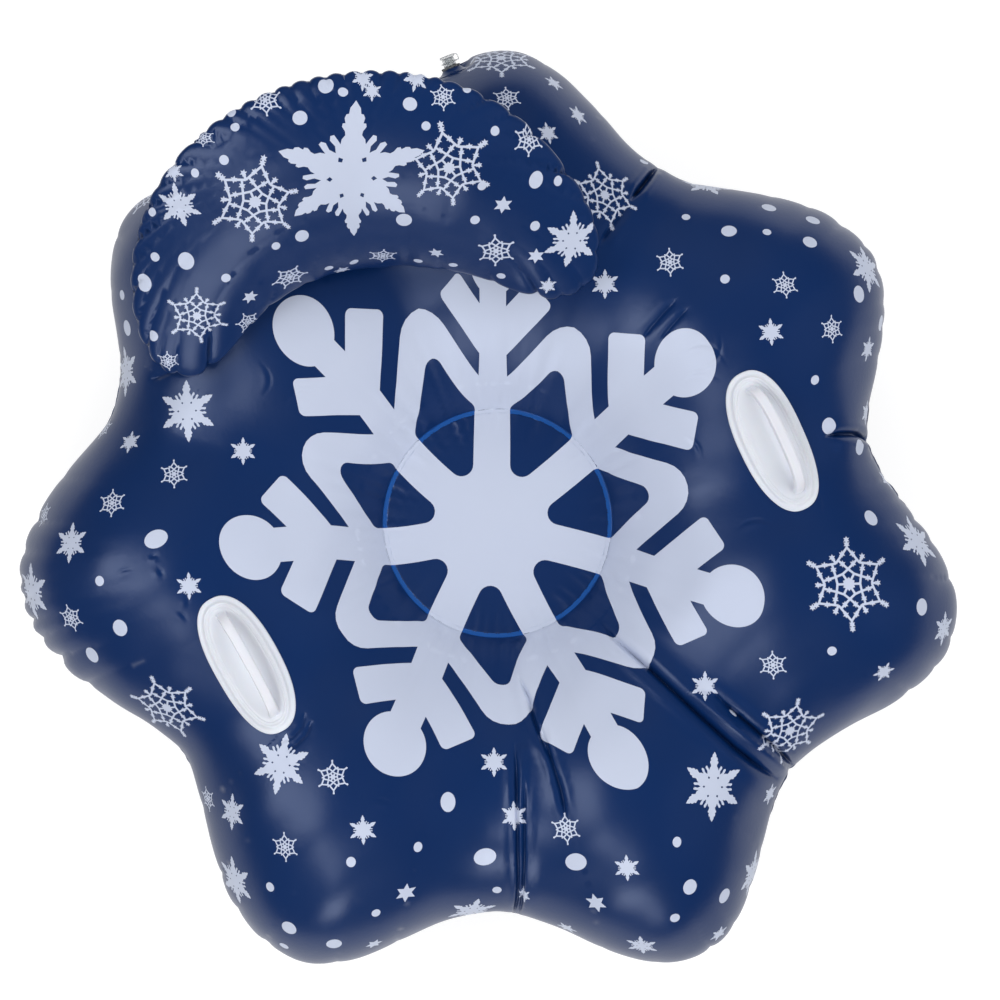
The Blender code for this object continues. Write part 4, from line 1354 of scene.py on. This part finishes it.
def backrestShape(side):
    def shape(flat):
        u, v = flat[:, 0] / halfArc, flat[:, 1] / backrest["halfWidth"]
        norm = np.maximum(backrestNorm(u, v), 1e-9)
        share = np.interp(norm, sideArc, sideShares)
        x, y = u * share / norm, v * share / norm
        along, across = halfArc * x, widthAt(halfArc * x) * y
        off = side * (rimStack + depthAt(share, along) + tube["film"] / 2)
        space, onward, slope, normal = backrestPlace(along, across, off)
        gx, gy = outwardOf(x, y, along)
        outward = onward * gx[:, None] + slope * gy[:, None]
        up = np.maximum(sideEnd - norm, 0.0) * backrest["halfWidth"]
        bulge = backrest["bulge"][0 if side > 0 else 1] * (1 - np.exp(-up / backrest["bulgeRise"]))
        bulge = bulge * np.exp(-up / backrest["bulgeRun"])
        space = space + outward * bulge[:, None]
        height = swell(flat, backrest["swellLength"], 41 + side) * smoothStep(up, *backrest["swellFade"])
        fan = swell(np.stack([along, zeros(along)], axis=1), backrest["fanLength"], 44, 30)
        fan = fan * smoothStep(-v / norm, *backrest["fanSide"]) * np.exp(-up / backrest["fanRun"])
        height = backrest["swell"] * height + backrest["fan"] * fan * smoothStep(up, *backrest["fanFade"])
        raised = smoothStep(up, *backrest["turnUp"])[:, None]
        away = unit(outward * (1 - raised) + side * normal * raised)
        pull = edgePull(alongBackrest(x, y), up)
        space = space + side * normal * height[:, None] - away * pull[:, None]
        return seatOnCollar(space, "backrest", up) if side < 0 else space
    return shape


frontFilm = Film(backrestShape(1), 1)
rearFilm = Film(backrestShape(-1), -1)

# Places of the backrest's marks as the image shows them; the last two groups are its large cluster
backLeaves = (
    (572, 241, 31, 2), (179, 206, 23, 6), (173, 171, 11, 0), (362, 71, 12, 0), (548, 286, 10, 0),
    (342, 270, 9, 0), (416, 77, 14, 0), (372, 91, 10.5, 0),
)
backLaces = (
    (443, 97, 14, 6), (529, 139, 17, 8), (496, 251, 20.5, 6), (265, 100, 17, 6), (203, 138, 12, 4),
    (290, 277, 19, 6), (248, 322, 13, 4), (383, 256, 15, 4), (168, 362, 12, 6),
)
backChains = ((197, 316, 32, 4),)
backStars = (
    (503, 205, 10, 0), (536, 256, 9, 0), (436, 253, 8, 0), (250, 297, 8.5, 0),
)
backDots = (
    (467, 89, 4.4, 4.0, 0), (495, 131, 4.8, 5.0, 0), (536, 180, 7.4, 9.0, 0), (558, 181, 4.6, 5.4, 0),
    (475, 220, 4.8, 5.2, 0), (535, 226, 5.0, 5.6, 0), (453, 265, 4.6, 3.6, 0), (501, 276, 4.6, 4.0, 0),
    (235, 127, 4.6, 4.4, 0), (231, 112, 5.0, 4.6, 0), (195, 173, 4.2, 4.6, 0), (152, 212, 4.2, 5.0, 0),
    (155, 257, 4.4, 5.2, 0), (186, 261, 8.4, 9.6, 0), (144, 283, 7.4, 9.6, 0), (226, 278, 4.8, 5.2, 0),
    (329, 268, 4.8, 4.2, 0), (418, 261, 4.8, 4.4, 0), (343, 92, 5.2, 4.6, 0), (326, 86, 8.4, 7.2, 0),
    (344, 73, 5.0, 4.4, 0), (153, 336, 4.8, 6.0, 0), (300, 118, 7.6, 7.0, 0), (410, 104, 7.2, 6.6, 0),
    (302, 236, 7.0, 7.4, 0), (404, 220, 8.0, 8.0, 0), (224, 160, 5.0, 5.0, 0), (482, 186, 4.6, 4.8, 0),
    (300, 160, 4.6, 4.6, 0), (276, 246, 4.4, 4.8, 0), (354, 262, 4.8, 4.6, 0), (426, 126, 4.6, 4.6, 0),
)


backGroups = (("leaf", backLeaves), ("lace", backLaces), ("chain", backChains), ("star", backStars),
              ("leaf", ((352, 178, 74, 3),)), ("chain", ((255, 202, 46, -8), (449, 168, 44, 10))))


# Half length and half width of the crescent, by which its flat places are measured
flatSize = np.array([halfArc, backrest["halfWidth"]])


def backrestLattice(step, margin):
    points = lattice(flatReach["backrest"], step)
    return points[backrestNorm(*(points / flatSize).T) < sideEnd - margin]


def backrestPoints(spacing):
    count = int(edgeTotal / rims["step"])
    turns = np.interp(np.arange(count) * edgeTotal / count, edgeLengths, rimTurns)
    edge = np.stack(backrestRim(turns), axis=1) * sideEnd
    size = backrest["halfWidth"]
    loose = [edge * (1 - row / size / sideEnd) * flatSize for row in rims["rows"]]
    loose += [edge[::2] * (1 - row / size / sideEnd) * flatSize for row in rims["wideRows"][:3]]
    loose.append(backrestLattice(spacing, rims["within"]["backrest"] / size))
    return edge * flatSize, turns, np.concatenate(loose)


def backrestFlange(turns):
    lengths = np.interp(turns, rimTurns, edgeLengths)
    wave = backrest["ruffle"] * swell(lengths[:, None], 0.018, 51, 30)
    place, _, _, normal = backrestRimPlace(turns, backrest["flange"] - backrest["edgeIn"])
    out = unit(place - backrestRimPlace(turns)[0])
    pull = backrest["pullShare"] * edgePull(lengths, zeros(lengths))
    return place - out * pull[:, None] + normal * wave[:, None], normal


frontFilm.prepare(backrestLattice(0.006, 0.03))
ink, holes = layMarks(frontFilm, gatherMarks(backGroups, backDots))
rim, turns, loose = backrestPoints(0.0055)
topSheet = layTriangles(rim, loose, ink, holes)
rim, turns, loose = backrestPoints(0.009)
loose = addCollarRings(rearFilm, "backrest", loose)
lowSheet = layTriangles(rim, loose, [], [])
edge, up = backrestFlange(turns)
backrestSkin = closedSkin("backrestSkin", frontFilm, rearFilm, topSheet, lowSheet, edge, up)
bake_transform(backrestSkin)
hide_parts("backrest_front_sheet", "backrest_rear_sheet")
print("backrest made")


# Height over the film, in millimetres, by share of the way from the pad's middle to its edge
padSection = (
    (0.0, 1.5), (0.10, 1.5), (0.20, 1.55), (0.30, 1.65), (0.38, 1.8), (0.45, 2.0), (0.50, 2.3), (0.54, 2.7),
    (0.575, 3.25), (0.595, 3.55), (0.61, 3.65), (0.625, 3.5), (0.64, 3.55), (0.66, 3.95), (0.675, 4.2),
    (0.69, 4.25), (0.705, 4.05), (0.72, 4.1), (0.74, 4.55), (0.76, 4.8), (0.775, 4.85), (0.79, 4.7),
    (0.805, 4.2), (0.82, 3.6), (0.835, 3.0), (0.85, 2.55), (0.87, 2.2), (0.90, 2.0), (0.93, 1.85),
    (0.955, 1.75), (0.975, 1.6), (0.988, 1.3), (0.996, 0.9), (1.0, 0.3),
)


# The pad's rows run from its middle over the top to the edge, and back beneath. Those near the
# edge keep their distance from it all round.
def handlePad(side):
    centre, turn = handleFrame(side)
    around = np.linspace(0.0, 2 * math.pi, handles["around"], endpoint=False)
    x = signedPower(np.cos(around), 2 / handles["squareness"]) * handles["width"] / 2
    y = signedPower(np.sin(around), 2 / handles["squareness"]) * handles["length"] / 2
    section = [(share, height / 1000) for share, height in padSection]
    section += [(share, handles["under"]) for share in (1.0, 0.30, 0.0)]
    points, rows = [], []
    total = 0
    for share, height in section:
        near = smoothStep(share, *handles["rimRows"])
        edge = 1 - (1 - share) * handles["width"] / handles["length"]
        offsets = np.stack([x * share, y * edge * near + y * share * (1 - near)], axis=1)
        plan = centre + offsets[:1 if share == 0 else None] @ turn.T
        base = baseTube(flatFrom(plan), 1)[0]
        base[:, :2] = plan
        points.append(base + [0.0, 0.0, height + tube["film"] / 2])
        rows.append(range(total, total + len(plan)))
        total += len(plan)
    faces = []
    for low, high in zip(rows, rows[1:]):
        faces += ringFaces(low, high)
    piece = newPiece(side + "HandlePad", np.concatenate(points), faces, (whiteMoulding,))
    piece.data.set_sharp_from_angle(angle=math.radians(50))
    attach(piece, "tube")
    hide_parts(side + "_handle_base")


# Geometry Nodes: a small wrapper for trees that are built here
class Tree:
    def __init__(self, name, inputs):
        self.group = bpy.data.node_groups.new(name, "GeometryNodeTree")
        self.group.interface.new_socket("Geometry", in_out="INPUT", socket_type="NodeSocketGeometry")
        self.group.interface.new_socket("Geometry", in_out="OUTPUT", socket_type="NodeSocketGeometry")
        self.keys = {}
        for key, (kind, value) in inputs.items():
            socket = self.group.interface.new_socket(key, in_out="INPUT", socket_type=kind)
            if value is not None:
                socket.default_value = value
            self.keys[key] = socket.identifier
        self.entry = self.group.nodes.new("NodeGroupInput")
        self.exit = self.group.nodes.new("NodeGroupOutput")

    def given(self, key):
        return Wire(self.group, self.entry.outputs[key])

    def node(self, kind, settings=None, values=None, output=0):
        return addNode(self.group, kind, settings or {}, values or {}, output)

    # Runs the tree on an object and keeps the result as its plain mesh
    def bake(self, piece, values):
        modifier = piece.modifiers.new("nodes", "NODES")
        modifier.node_group = self.group
        for key, value in values.items():
            modifier[self.keys[key]] = value
        bpy.context.view_layer.update()
        depsgraph = bpy.context.evaluated_depsgraph_get()
        mesh = bpy.data.meshes.new_from_object(piece.evaluated_get(depsgraph))
        piece.modifiers.remove(modifier)
        old = piece.data
        piece.data = mesh
        bpy.data.meshes.remove(old)
        mesh.name = piece.name
        return piece

    def end(self, geometry, material):
        real = self.node("GeometryNodeRealizeInstances", {}, {0: geometry})
        final = self.node("GeometryNodeSetMaterial", {}, {0: real, "Material": material})
        self.group.links.new(final.socket, self.exit.inputs[0])


def joinXYZ(tree, x, y, z):
    return tree.node("ShaderNodeCombineXYZ", {}, {0: x, 1: y, 2: z})


def signedRoot(value, power):
    return value.maths("ABSOLUTE", value) ** power * value.maths("SIGN", value)


# A strap that arches over the dish: a line that is bent to a rounded arch and swept with a
# flat section that has a bead along one edge
def gripTree():
    tree = Tree("arch", {"Length": ("NodeSocketFloat", 0.114), "Height": ("NodeSocketFloat", 0.026),
                         "Width": ("NodeSocketFloat", 0.013), "Thickness": ("NodeSocketFloat", 0.006),
                         "Bow": ("NodeSocketFloat", 0.005), "Bead": ("NodeSocketFloat", 0.0015),
                         "Material": ("NodeSocketMaterial", None)})
    line = tree.node("GeometryNodeCurvePrimitiveLine")
    dense = tree.node("GeometryNodeResampleCurve", {}, {"Curve": line, "Count": 96})
    along = tree.node("GeometryNodeSplineParameter")
    theta = along * math.pi
    cosine = theta.maths("COSINE", theta)
    sine = theta.maths("SINE", theta)
    power = 2 / handles["gripSquareness"]
    size = tree.given("Length")
    y = signedRoot(cosine, power) * size * -0.5
    z = sine.maths("MAXIMUM", sine, 0.0) ** power * tree.given("Height")
    bent = tree.node("GeometryNodeSetPosition", {}, {0: dense, "Position": joinXYZ(tree, 0.0, y, z)})
    circle = tree.node("GeometryNodeCurvePrimitiveCircle", {}, {"Resolution": 40, "Radius": 1.0})
    place = tree.node("GeometryNodeInputPosition")
    parts = [tree.node("ShaderNodeSeparateXYZ", {}, {0: place}, k) for k in range(2)]
    wide = signedRoot(parts[0], 0.75) * tree.given("Width") * 0.5
    edge = (parts[0] * -1.0).band(0.55, 0.95) * tree.given("Bead")
    high = signedRoot(parts[1], 0.75)
    high = high * (tree.given("Thickness") * 0.5 + edge)
    outline = joinXYZ(tree, wide, high, 0.0)
    section = tree.node("GeometryNodeSetPosition", {}, {0: circle, "Position": outline})
    swept = tree.node("GeometryNodeCurveToMesh", {}, {0: bent, 1: section, "Fill Caps": True})
    where = tree.node("GeometryNodeInputPosition")
    up = tree.node("ShaderNodeSeparateXYZ", {}, {0: where}, 2)
    bow = up / tree.given("Height") * tree.given("Bow")
    bowed = tree.node("GeometryNodeSetPosition", {}, {0: swept, "Offset": joinXYZ(tree, bow, 0.0, 0.0)})
    tree.end(bowed, tree.given("Material"))
    return tree


arch = gripTree()


def handleGrip(side):
    centre, turn = handleFrame(side)
    piece = newPiece(side + "HandleGrip", [(0, 0, 0)], [], ())
    arch.bake(piece, {"Length": handles["gripLength"], "Height": handles["gripHeight"],
                      "Width": handles["gripWidth"], "Thickness": handles["gripThickness"],
                      "Bow": handles["bow"][side], "Bead": handles["bead"], "Material": whiteMoulding})
    mesh = piece.data
    points = np.zeros(len(mesh.vertices) * 3)
    mesh.vertices.foreach_get("co", points)
    points = points.reshape(-1, 3)
    # The feet spread into the pad
    low = 1 - smoothStep(points[:, 2], *handles["footRise"])
    points[:, 0] *= 1 + handles["footSpread"] * low
    points[:, 2] -= handles["footSink"]
    plan = centre + points[:, :2] @ turn.T
    feet = centre + np.stack([zeros(points), points[:, 1]], axis=1) @ turn.T
    ground = baseTube(flatFrom(feet), 1)[0][:, 2]
    final = np.stack([plan[:, 0], plan[:, 1], points[:, 2] + ground], axis=1)
    mesh.vertices.foreach_set("co", final.ravel())
    mesh.polygons.foreach_set("use_smooth", np.full(len(mesh.polygons), True))
    mesh.update()
    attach(piece, "tube")
    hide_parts(side + "_handle_grip")


for side in ("left", "right"):
    handlePad(side)
    handleGrip(side)
print("handles made")


# Valves, each in its own frame: the origin lies on the film and +Z points out of the chamber.
# A profile is a list of (radius, height, corner radius) in millimetres.
valve = dict(
    steps=72, ringTeeth=36, toothSize=(0.9, 1.3, 2.6),
    collar=((7.6, -6.5, 0), (16.6, -6.5, 0), (17.0, 0.0, 0.4), (16.9, 0.9, 0.4), (14.2, 1.6, 1.5),
            (11.6, 3.2, 2.5), (9.6, 5.8, 2.0), (9.2, 6.9, 0.5), (8.5, 7.1, 0.5), (7.4, 6.6, 0.5)),
    stem=((4.0, -11.9, 0.3), (6.3, -11.9, 0.6), (6.5, -9.0, 0.5), (6.5, 5.4, 0.3), (9.2, 5.5, 0.4),
          (9.5, 6.0, 0.4), (9.5, 8.0, 0.4), (9.1, 8.4, 0.4), (6.9, 8.6, 0.5), (6.6, 9.6, 0.8),
          (6.5, 15.8, 0.4), (6.1, 17.0, 0.5), (4.5, 17.0, 0.3), (4.1, 16.2, 0.3), (4.0, 10.0, 0)),
    plug=((0.0, 8.4, 0), (2.6, 8.4, 0.8), (3.4, 9.4, 0.8), (3.6, 12.0, 0.4), (3.6, 17.1, 0.3),
          (7.6, 17.3, 0.4), (8.0, 17.8, 0.5), (8.0, 19.2, 0.6), (7.2, 19.8, 0.8), (3.4, 19.9, 0.5),
          (2.6, 19.5, 0.6), (0.0, 19.4, 0)),
    strapRing=((6.9, 11.5, 0.2), (8.3, 11.5, 0.3), (8.3, 12.9, 0.3), (6.9, 12.9, 0.2)),
    flap=((0.0, -0.55, 0), (5.2, -0.55, 0.15), (5.5, -0.35, 0.1), (5.45, 0.0, 0.1), (0.0, 0.0, 0)),
    band=((8.0, 12.2), (9.6, 12.2), (10.5, 12.6), (10.9, 13.6), (10.9, 15.6), (10.6, 17.4), (9.9, 18.5),
          (8.8, 18.9), (7.6, 18.8)),
    bandWidth=4.0, bandThickness=1.1, bandAround=16, flapLow=-12.3, skirt=(1.2, 7.0),
)


def valveMatrix(values):
    out = Vector(values["out"]).normalized()
    level = out.cross(Vector((0.0, 0.0, 1.0))).normalized()
    turn = Matrix((level, out.cross(level), out)).transposed().to_4x4()
    return Matrix.Translation(values["origin"]) @ turn


def smoothProfile(corners, closed):
    points = []
    count = len(corners)
    for i, (r, z, size) in enumerate(corners):
        here = Vector((r, z))
        if size <= 0 or (not closed and i in (0, count - 1)):
            points.append((r, z))
            continue
        before = Vector(corners[i - 1][:2]) - here
        after = Vector(corners[(i + 1) % count][:2]) - here
        back = min(size, 0.45 * before.length, 0.45 * after.length)
        a, b = here + before.normalized() * back, here + after.normalized() * back
        for j in range(5):
            s = j / 4
            points.append(tuple(a * (1 - s) ** 2 + here * 2 * s * (1 - s) + b * s**2))
    return points


# Turns a profile about +Z. A profile that starts and ends on the axis is capped there.
def latheParts(corners, steps):
    axis = corners[0][0] == 0.0
    profile = smoothProfile(corners, not axis)
    points, faces = [], []
    rows = []
    for r, z in profile:
        if r == 0.0:
            rows.append([len(points)])
            points.append((0.0, 0.0, z / 1000))
            continue
        rows.append(list(range(len(points), len(points) + steps)))
        for i in range(steps):
            a = 2 * math.pi * i / steps
            points.append((r * math.cos(a) / 1000, r * math.sin(a) / 1000, z / 1000))
    pairs = list(zip(rows, rows[1:])) + ([] if axis else [(rows[-1], rows[0])])
    for low, high in pairs:
        faces += ringFaces(low, high)
    return points, [face[::-1] for face in faces]


# Teeth round a ring, made as instances of one block
def teethTree():
    tree = Tree("teeth", {"Radius": ("NodeSocketFloat", 0.0095), "Level": ("NodeSocketFloat", 0.007),
                          "Count": ("NodeSocketInt", 36), "Size": ("NodeSocketVector", None),
                          "Material": ("NodeSocketMaterial", None)})
    points = tree.node("GeometryNodePoints", {}, {"Count": tree.given("Count")})
    index = tree.node("GeometryNodeInputIndex")
    angle = index * (2 * math.pi) / tree.given("Count")
    place = joinXYZ(tree, angle.maths("COSINE", angle) * tree.given("Radius"),
                    angle.maths("SINE", angle) * tree.given("Radius"), tree.given("Level"))
    placed = tree.node("GeometryNodeSetPosition", {}, {0: points, "Position": place})
    ball = tree.node("GeometryNodeMeshIcoSphere", {}, {"Radius": 1.0, "Subdivisions": 2})
    values = {"Points": placed, "Instance": ball, "Rotation": joinXYZ(tree, 0.0, 0.0, angle),
              "Scale": tree.given("Size")}
    teeth = tree.node("GeometryNodeInstanceOnPoints", {}, values)
    both = tree.node("GeometryNodeJoinGeometry", {}, {0: teeth})
    tree.group.links.new(tree.given("Geometry").socket, tree.group.nodes[both.socket.node.name].inputs[0])
    tree.end(both, tree.given("Material"))
    return tree


teeth = teethTree()


# A piece with a skirt is baked in place and attached to no body; any other piece stays with its own body
def turnedPiece(name, corners, material, matrix, body, node, rise=0.0, ringed=False, skirt=None):
    points, faces = latheParts(corners, valve["steps"])
    piece = newPiece(name, [(x, y, z + rise) for x, y, z in points], faces, (material,))
    if ringed:
        size = tuple(v / 1000 for v in valve["toothSize"])
        teeth.bake(piece, {"Radius": 0.0094, "Level": 0.0070, "Count": valve["ringTeeth"],
                           "Size": (size[0], size[1] * 0.45, size[2] * 0.5), "Material": material})
    piece.data.transform(matrix)
    piece.data.polygons.foreach_set("use_smooth", np.full(len(piece.data.polygons), True))
    piece.data.set_sharp_from_angle(angle=math.radians(40))
    if skirt:
        low, high = (matrix @ Vector((0.0, 0.0, level / 1000)) for level in valve["skirt"])
        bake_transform(piece)
        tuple(low)
        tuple(high)
    else:
        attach(piece, body)
    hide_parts(node)


# The strap: a ring round the stem and a thin band that bends up to the plug's edge
def strapPiece(name, matrix, body, node):
    points, faces = latheParts(valve["strapRing"], valve["steps"])
    path = smoothLine(valve["band"], 5)
    count = valve["bandAround"]
    base = len(points)
    turns = 2 * math.pi * np.arange(count) / count
    ring = list(zip(signedPower(np.cos(turns), 0.6) * valve["bandWidth"] / 2,
                    signedPower(np.sin(turns), 0.6) * valve["bandThickness"] / 2))
    for i, (r, z) in enumerate(path):
        before, after = path[max(i - 1, 0)], path[min(i + 1, len(path) - 1)]
        dr, dz = after[0] - before[0], after[1] - before[1]
        length = math.hypot(dr, dz)
        nr, nz = -dz / length, dr / length
        for y, off in ring:
            points.append(((r + nr * off) / 1000, y / 1000, (z + nz * off) / 1000))
    for i in range(len(path) - 1):
        for j in range(count):
            a, b = base + i * count + j, base + i * count + (j + 1) % count
            faces.append((a, b, b + count, a + count))
    faces.append(tuple(base + j for j in reversed(range(count))))
    faces.append(tuple(base + (len(path) - 1) * count + j for j in range(count)))
    piece = newPiece(name, points, faces, (clearPlastic,))
    piece.data.transform(matrix)
    piece.data.set_sharp_from_angle(angle=math.radians(50))
    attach(piece, body)
    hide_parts(node)


def smoothLine(points, count):
    result = []
    padded = [points[0]] + list(points) + [points[-1]]
    for i in range(1, len(padded) - 2):
        p0, p1, p2, p3 = (Vector(p) for p in padded[i - 1:i + 3])
        for j in range(count):
            t = j / count
            result.append(tuple(0.5 * ((2 * p1) + (p2 - p0) * t + (2 * p0 - 5 * p1 + 4 * p2 - p3) * t * t
                                       + (3 * p1 - p0 - 3 * p2 + p3) * t**3)))
    result.append(tuple(points[-1]))
    return result


def makeValve(prefix, body):
    matrix = valveMatrix(collars[prefix])
    moving, plug, flap = (prefix + part for part in ("_valve", "_plug", "_flap"))
    turnedPiece(prefix + "ValveCollar", valve["collar"], navyFilm, matrix, body, prefix + "_valve_collar",
                skirt=moving)
    turnedPiece(prefix + "ValveStem", valve["stem"], clearPlastic, matrix, moving, prefix + "_valve_stem",
                ringed=True)
    turnedPiece(prefix + "ValvePlug", valve["plug"], clearPlastic, matrix, plug, prefix + "_valve_plug")
    strapPiece(prefix + "ValveStrap", matrix, plug, prefix + "_valve_strap")
    turnedPiece(prefix + "ValveFlap", valve["flap"], clearPlastic, matrix, flap, prefix + "_valve_flap",
                rise=valve["flapLow"] / 1000)


makeValve("main", "tube")
makeValve("backrest", "backrest")
print("valves made")

# Tabs that hold the backrest's wings: a strip welded to the tube that stands up as a lip
tabs = dict(width=0.040, lap=0.030, thickness=0.001, film=0.0005, gap=0.0003, columns=33, rows=37,
            corner=0.006, lip=0.25, thinOver=0.03, thinEdge=0.35)


def hingeEnds():
    turns = np.linspace(-math.pi, math.pi, 1441)
    points = backrestRimPlace(turns, backrest["flange"], 0.0, True)[0]
    local = (points - backrestOrigin) @ backrestTurn
    ends = []
    for side in (-1, 1):
        own = np.nonzero(local[:, 0] * side > 0)[0]
        best = local[own[np.argmin(local[own, 1])]].copy()
        best[1] -= tabs["gap"] + tabs["thickness"] / 2
        ends.append(best @ backrestTurn.T + backrestOrigin)
    return ends


def makeTab(side, end):
    forward = np.array([0.0, -1.0, 0.0]) @ backrestTurn.T
    sideways = np.array([1.0, 0.0, 0.0]) @ backrestTurn.T
    rows, columns = tabs["rows"], tabs["columns"]
    travel = np.linspace(-tabs["lip"], 1.0, rows)
    across = np.linspace(-0.5, 0.5, columns)
    points = []
    for part in travel:
        back = max(0.0, part) * tabs["lap"]
        narrow = 1.0
        rest = tabs["lap"] - back
        if rest < tabs["corner"]:
            drop = tabs["corner"] - math.sqrt(max(tabs["corner"] ** 2 - (tabs["corner"] - rest) ** 2, 0.0))
            narrow = 1 - 2 * drop / tabs["width"]
        row = end - forward * back + np.outer(across, sideways) * tabs["width"] * narrow
        ground = baseTube(flatFrom(row[:, :2]), 1)[0][:, 2] + tabs["film"] / 2 + tabs["thickness"] / 2
        rise = smoothStep(-part / tabs["lip"], 0.0, 1.0)
        row[:, 2] = ground + (end[2] - ground) * rise
        points.append(row)
    points = np.array(points)
    normal = unit(np.cross(np.gradient(points, axis=1), np.gradient(points, axis=0)))
    normal = normal * np.where(normal[rows // 2, columns // 2, 2] > 0, 1.0, -1.0)
    # Each edge is thinned to a soft rim
    fromEnds = np.minimum(travel + tabs["lip"], 1.0 - travel)
    thin = np.minimum(0.5 - np.abs(across)[None, :], fromEnds[:, None]) / tabs["thinOver"]
    thin = (tabs["thickness"] / 2 * np.clip(thin, tabs["thinEdge"], 1.0))[:, :, None]
    top, low = points + normal * thin, points - normal * thin
    count = rows * columns
    every = np.concatenate([top.reshape(-1, 3), low.reshape(-1, 3)])
    faces = []
    for i in range(rows - 1):
        for j in range(columns - 1):
            a = i * columns + j
            faces.append((a, a + 1, a + columns + 1, a + columns))
            faces.append((a + count, a + columns + count, a + columns + 1 + count, a + 1 + count))
    border = ([j for j in range(columns)] + [i * columns + columns - 1 for i in range(1, rows)]
              + [(rows - 1) * columns + j for j in range(columns - 2, -1, -1)]
              + [i * columns for i in range(rows - 2, 0, -1)])
    for a, b in zip(border, border[1:] + border[:1]):
        faces.append((b, a, a + count, b + count))
    piece = newPiece(side + "BackrestTab", every, faces, (navyFilm,))
    shape = bmesh.new()
    shape.from_mesh(piece.data)
    bmesh.ops.recalc_face_normals(shape, faces=shape.faces)
    shape.to_mesh(piece.data)
    shape.free()
    piece.data.set_sharp_from_angle(angle=math.radians(50))
    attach(piece, "tube")
    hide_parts(side + "_backrest_tab")


for side, end in zip(("left", "right"), hingeEnds()):
    makeTab(side, end)
print("tabs made")

# The second layer of film inside, under the seat, that backs the weld
liner = dict(least=0.004, reach=0.1575, drop=0.0011, thickness=0.0005, rings=40, around=180)


def makeLiner():
    radii = np.linspace(liner["least"], liner["reach"], liner["rings"])
    around = np.linspace(0.0, 2 * math.pi, liner["around"], endpoint=False)
    plan = flatFrom(np.concatenate([np.full((1, 2), 1e-5)] + [polar(radius, around) for radius in radii]))
    space, outward = topFilm.shape(plan), topFilm.normals(plan)
    drops = (liner["drop"], liner["drop"] + liner["thickness"])
    points = np.concatenate([space - outward * drop for drop in drops])
    faces, edges = [], []
    for start, order in ((0, 1), (len(plan), -1)):
        rows = [[start]]
        for row in range(liner["rings"]):
            first = start + 1 + row * liner["around"]
            rows.append(range(first, first + liner["around"]))
        for low, high in zip(rows, rows[1:]):
            faces += [face[::order] for face in ringFaces(low, high)]
        edges.append(rows[-1])
    faces += ringFaces(*edges)
    piece = newPiece("seatLiner", points, faces, (navyFilm,))
    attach(piece, "tube")
    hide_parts("seat_reinforcement_disc")


makeLiner()
print("liner made")


# Floor, world and lamps
stageLook = dict(level=-0.1189, size=14.0, floor=(0.36, 0.36, 0.36, 1.0), shown=0.79,
                 world=0.16, sky=(0.93, 0.95, 1.0, 1.0))


def makeStage():
    made = bpy.data.materials.new("paleFloor")
    made.use_nodes = True
    tree = made.node_tree
    tree.nodes.clear()
    rays = addNode(tree, "ShaderNodeLightPath", {}, {}).socket.node.outputs
    kinds = ("Is Camera Ray", "Is Glossy Ray", "Is Transmission Ray")
    direct, *others = (Wire(tree, rays[kind]) for kind in kinds)
    for other in others:
        direct = direct.maths("MAXIMUM", direct, other)
    plain = addNode(tree, "ShaderNodeBsdfDiffuse", {}, {"Color": stageLook["floor"]})
    glow = {"Color": (1.0, 1.0, 1.0, 1.0), "Strength": direct * stageLook["shown"]}
    bright = addNode(tree, "ShaderNodeEmission", {}, glow)
    both = addNode(tree, "ShaderNodeAddShader", {}, {0: plain, 1: bright})
    out = tree.nodes.new("ShaderNodeOutputMaterial")
    tree.links.new(both.socket, out.inputs["Surface"])
    half, level = stageLook["size"] / 2, stageLook["level"]
    corners = [(x * half, y * half, level) for x, y in ((-1, -1), (1, -1), (1, 1), (-1, 1))]
    floor = newPiece("floor", corners, [(0, 1, 2, 3)], (made,), None, False)
    world = bpy.data.worlds.new("softRoom")
    world.use_nodes = True
    shade = world.node_tree.nodes["Background"]
    shade.inputs["Color"].default_value = stageLook["sky"]
    shade.inputs["Strength"].default_value = stageLook["world"]
    bpy.context.scene.world = world


# Three boxes show in the film's gloss, as the image has it; the fills only light it
lamps = (
    dict(name="keyBox", place=(-1.08, -0.86, 2.20), size=(0.8, 0.7), power=7.0, shows=True),
    dict(name="leftBox", place=(-1.45, 0.50, 2.04), size=(1.0, 1.4), power=19.0, shows=True),
    dict(name="nearBox", place=(-1.12, -2.00, 1.22), size=(1.0, 0.8), power=12.0, shows=True),
    dict(name="rightFill", place=(2.05, -0.90, 1.85), size=(2.4, 2.4), power=38.0, shows=False),
    dict(name="farFill", place=(0.95, 2.05, 1.85), size=(2.4, 2.4), power=34.0, shows=False),
    dict(name="nearFill", place=(-0.95, -2.05, 1.85), size=(2.4, 2.4), power=18.0, shows=False),
)


def makeLamps():
    for values in lamps:
        data = bpy.data.lights.new(values["name"], "AREA")
        data.shape = "RECTANGLE"
        data.size, data.size_y = values["size"]
        data.energy = values["power"]
        lamp = bpy.data.objects.new(values["name"], data)
        place = Vector(values["place"])
        lamp.location = place
        lamp.rotation_euler = (-place).to_track_quat("-Z", "Y").to_euler()
        lamp.visible_glossy = values["shows"]
        bpy.context.scene.collection.objects.link(lamp)


makeStage()
makeLamps()
print("stage set")
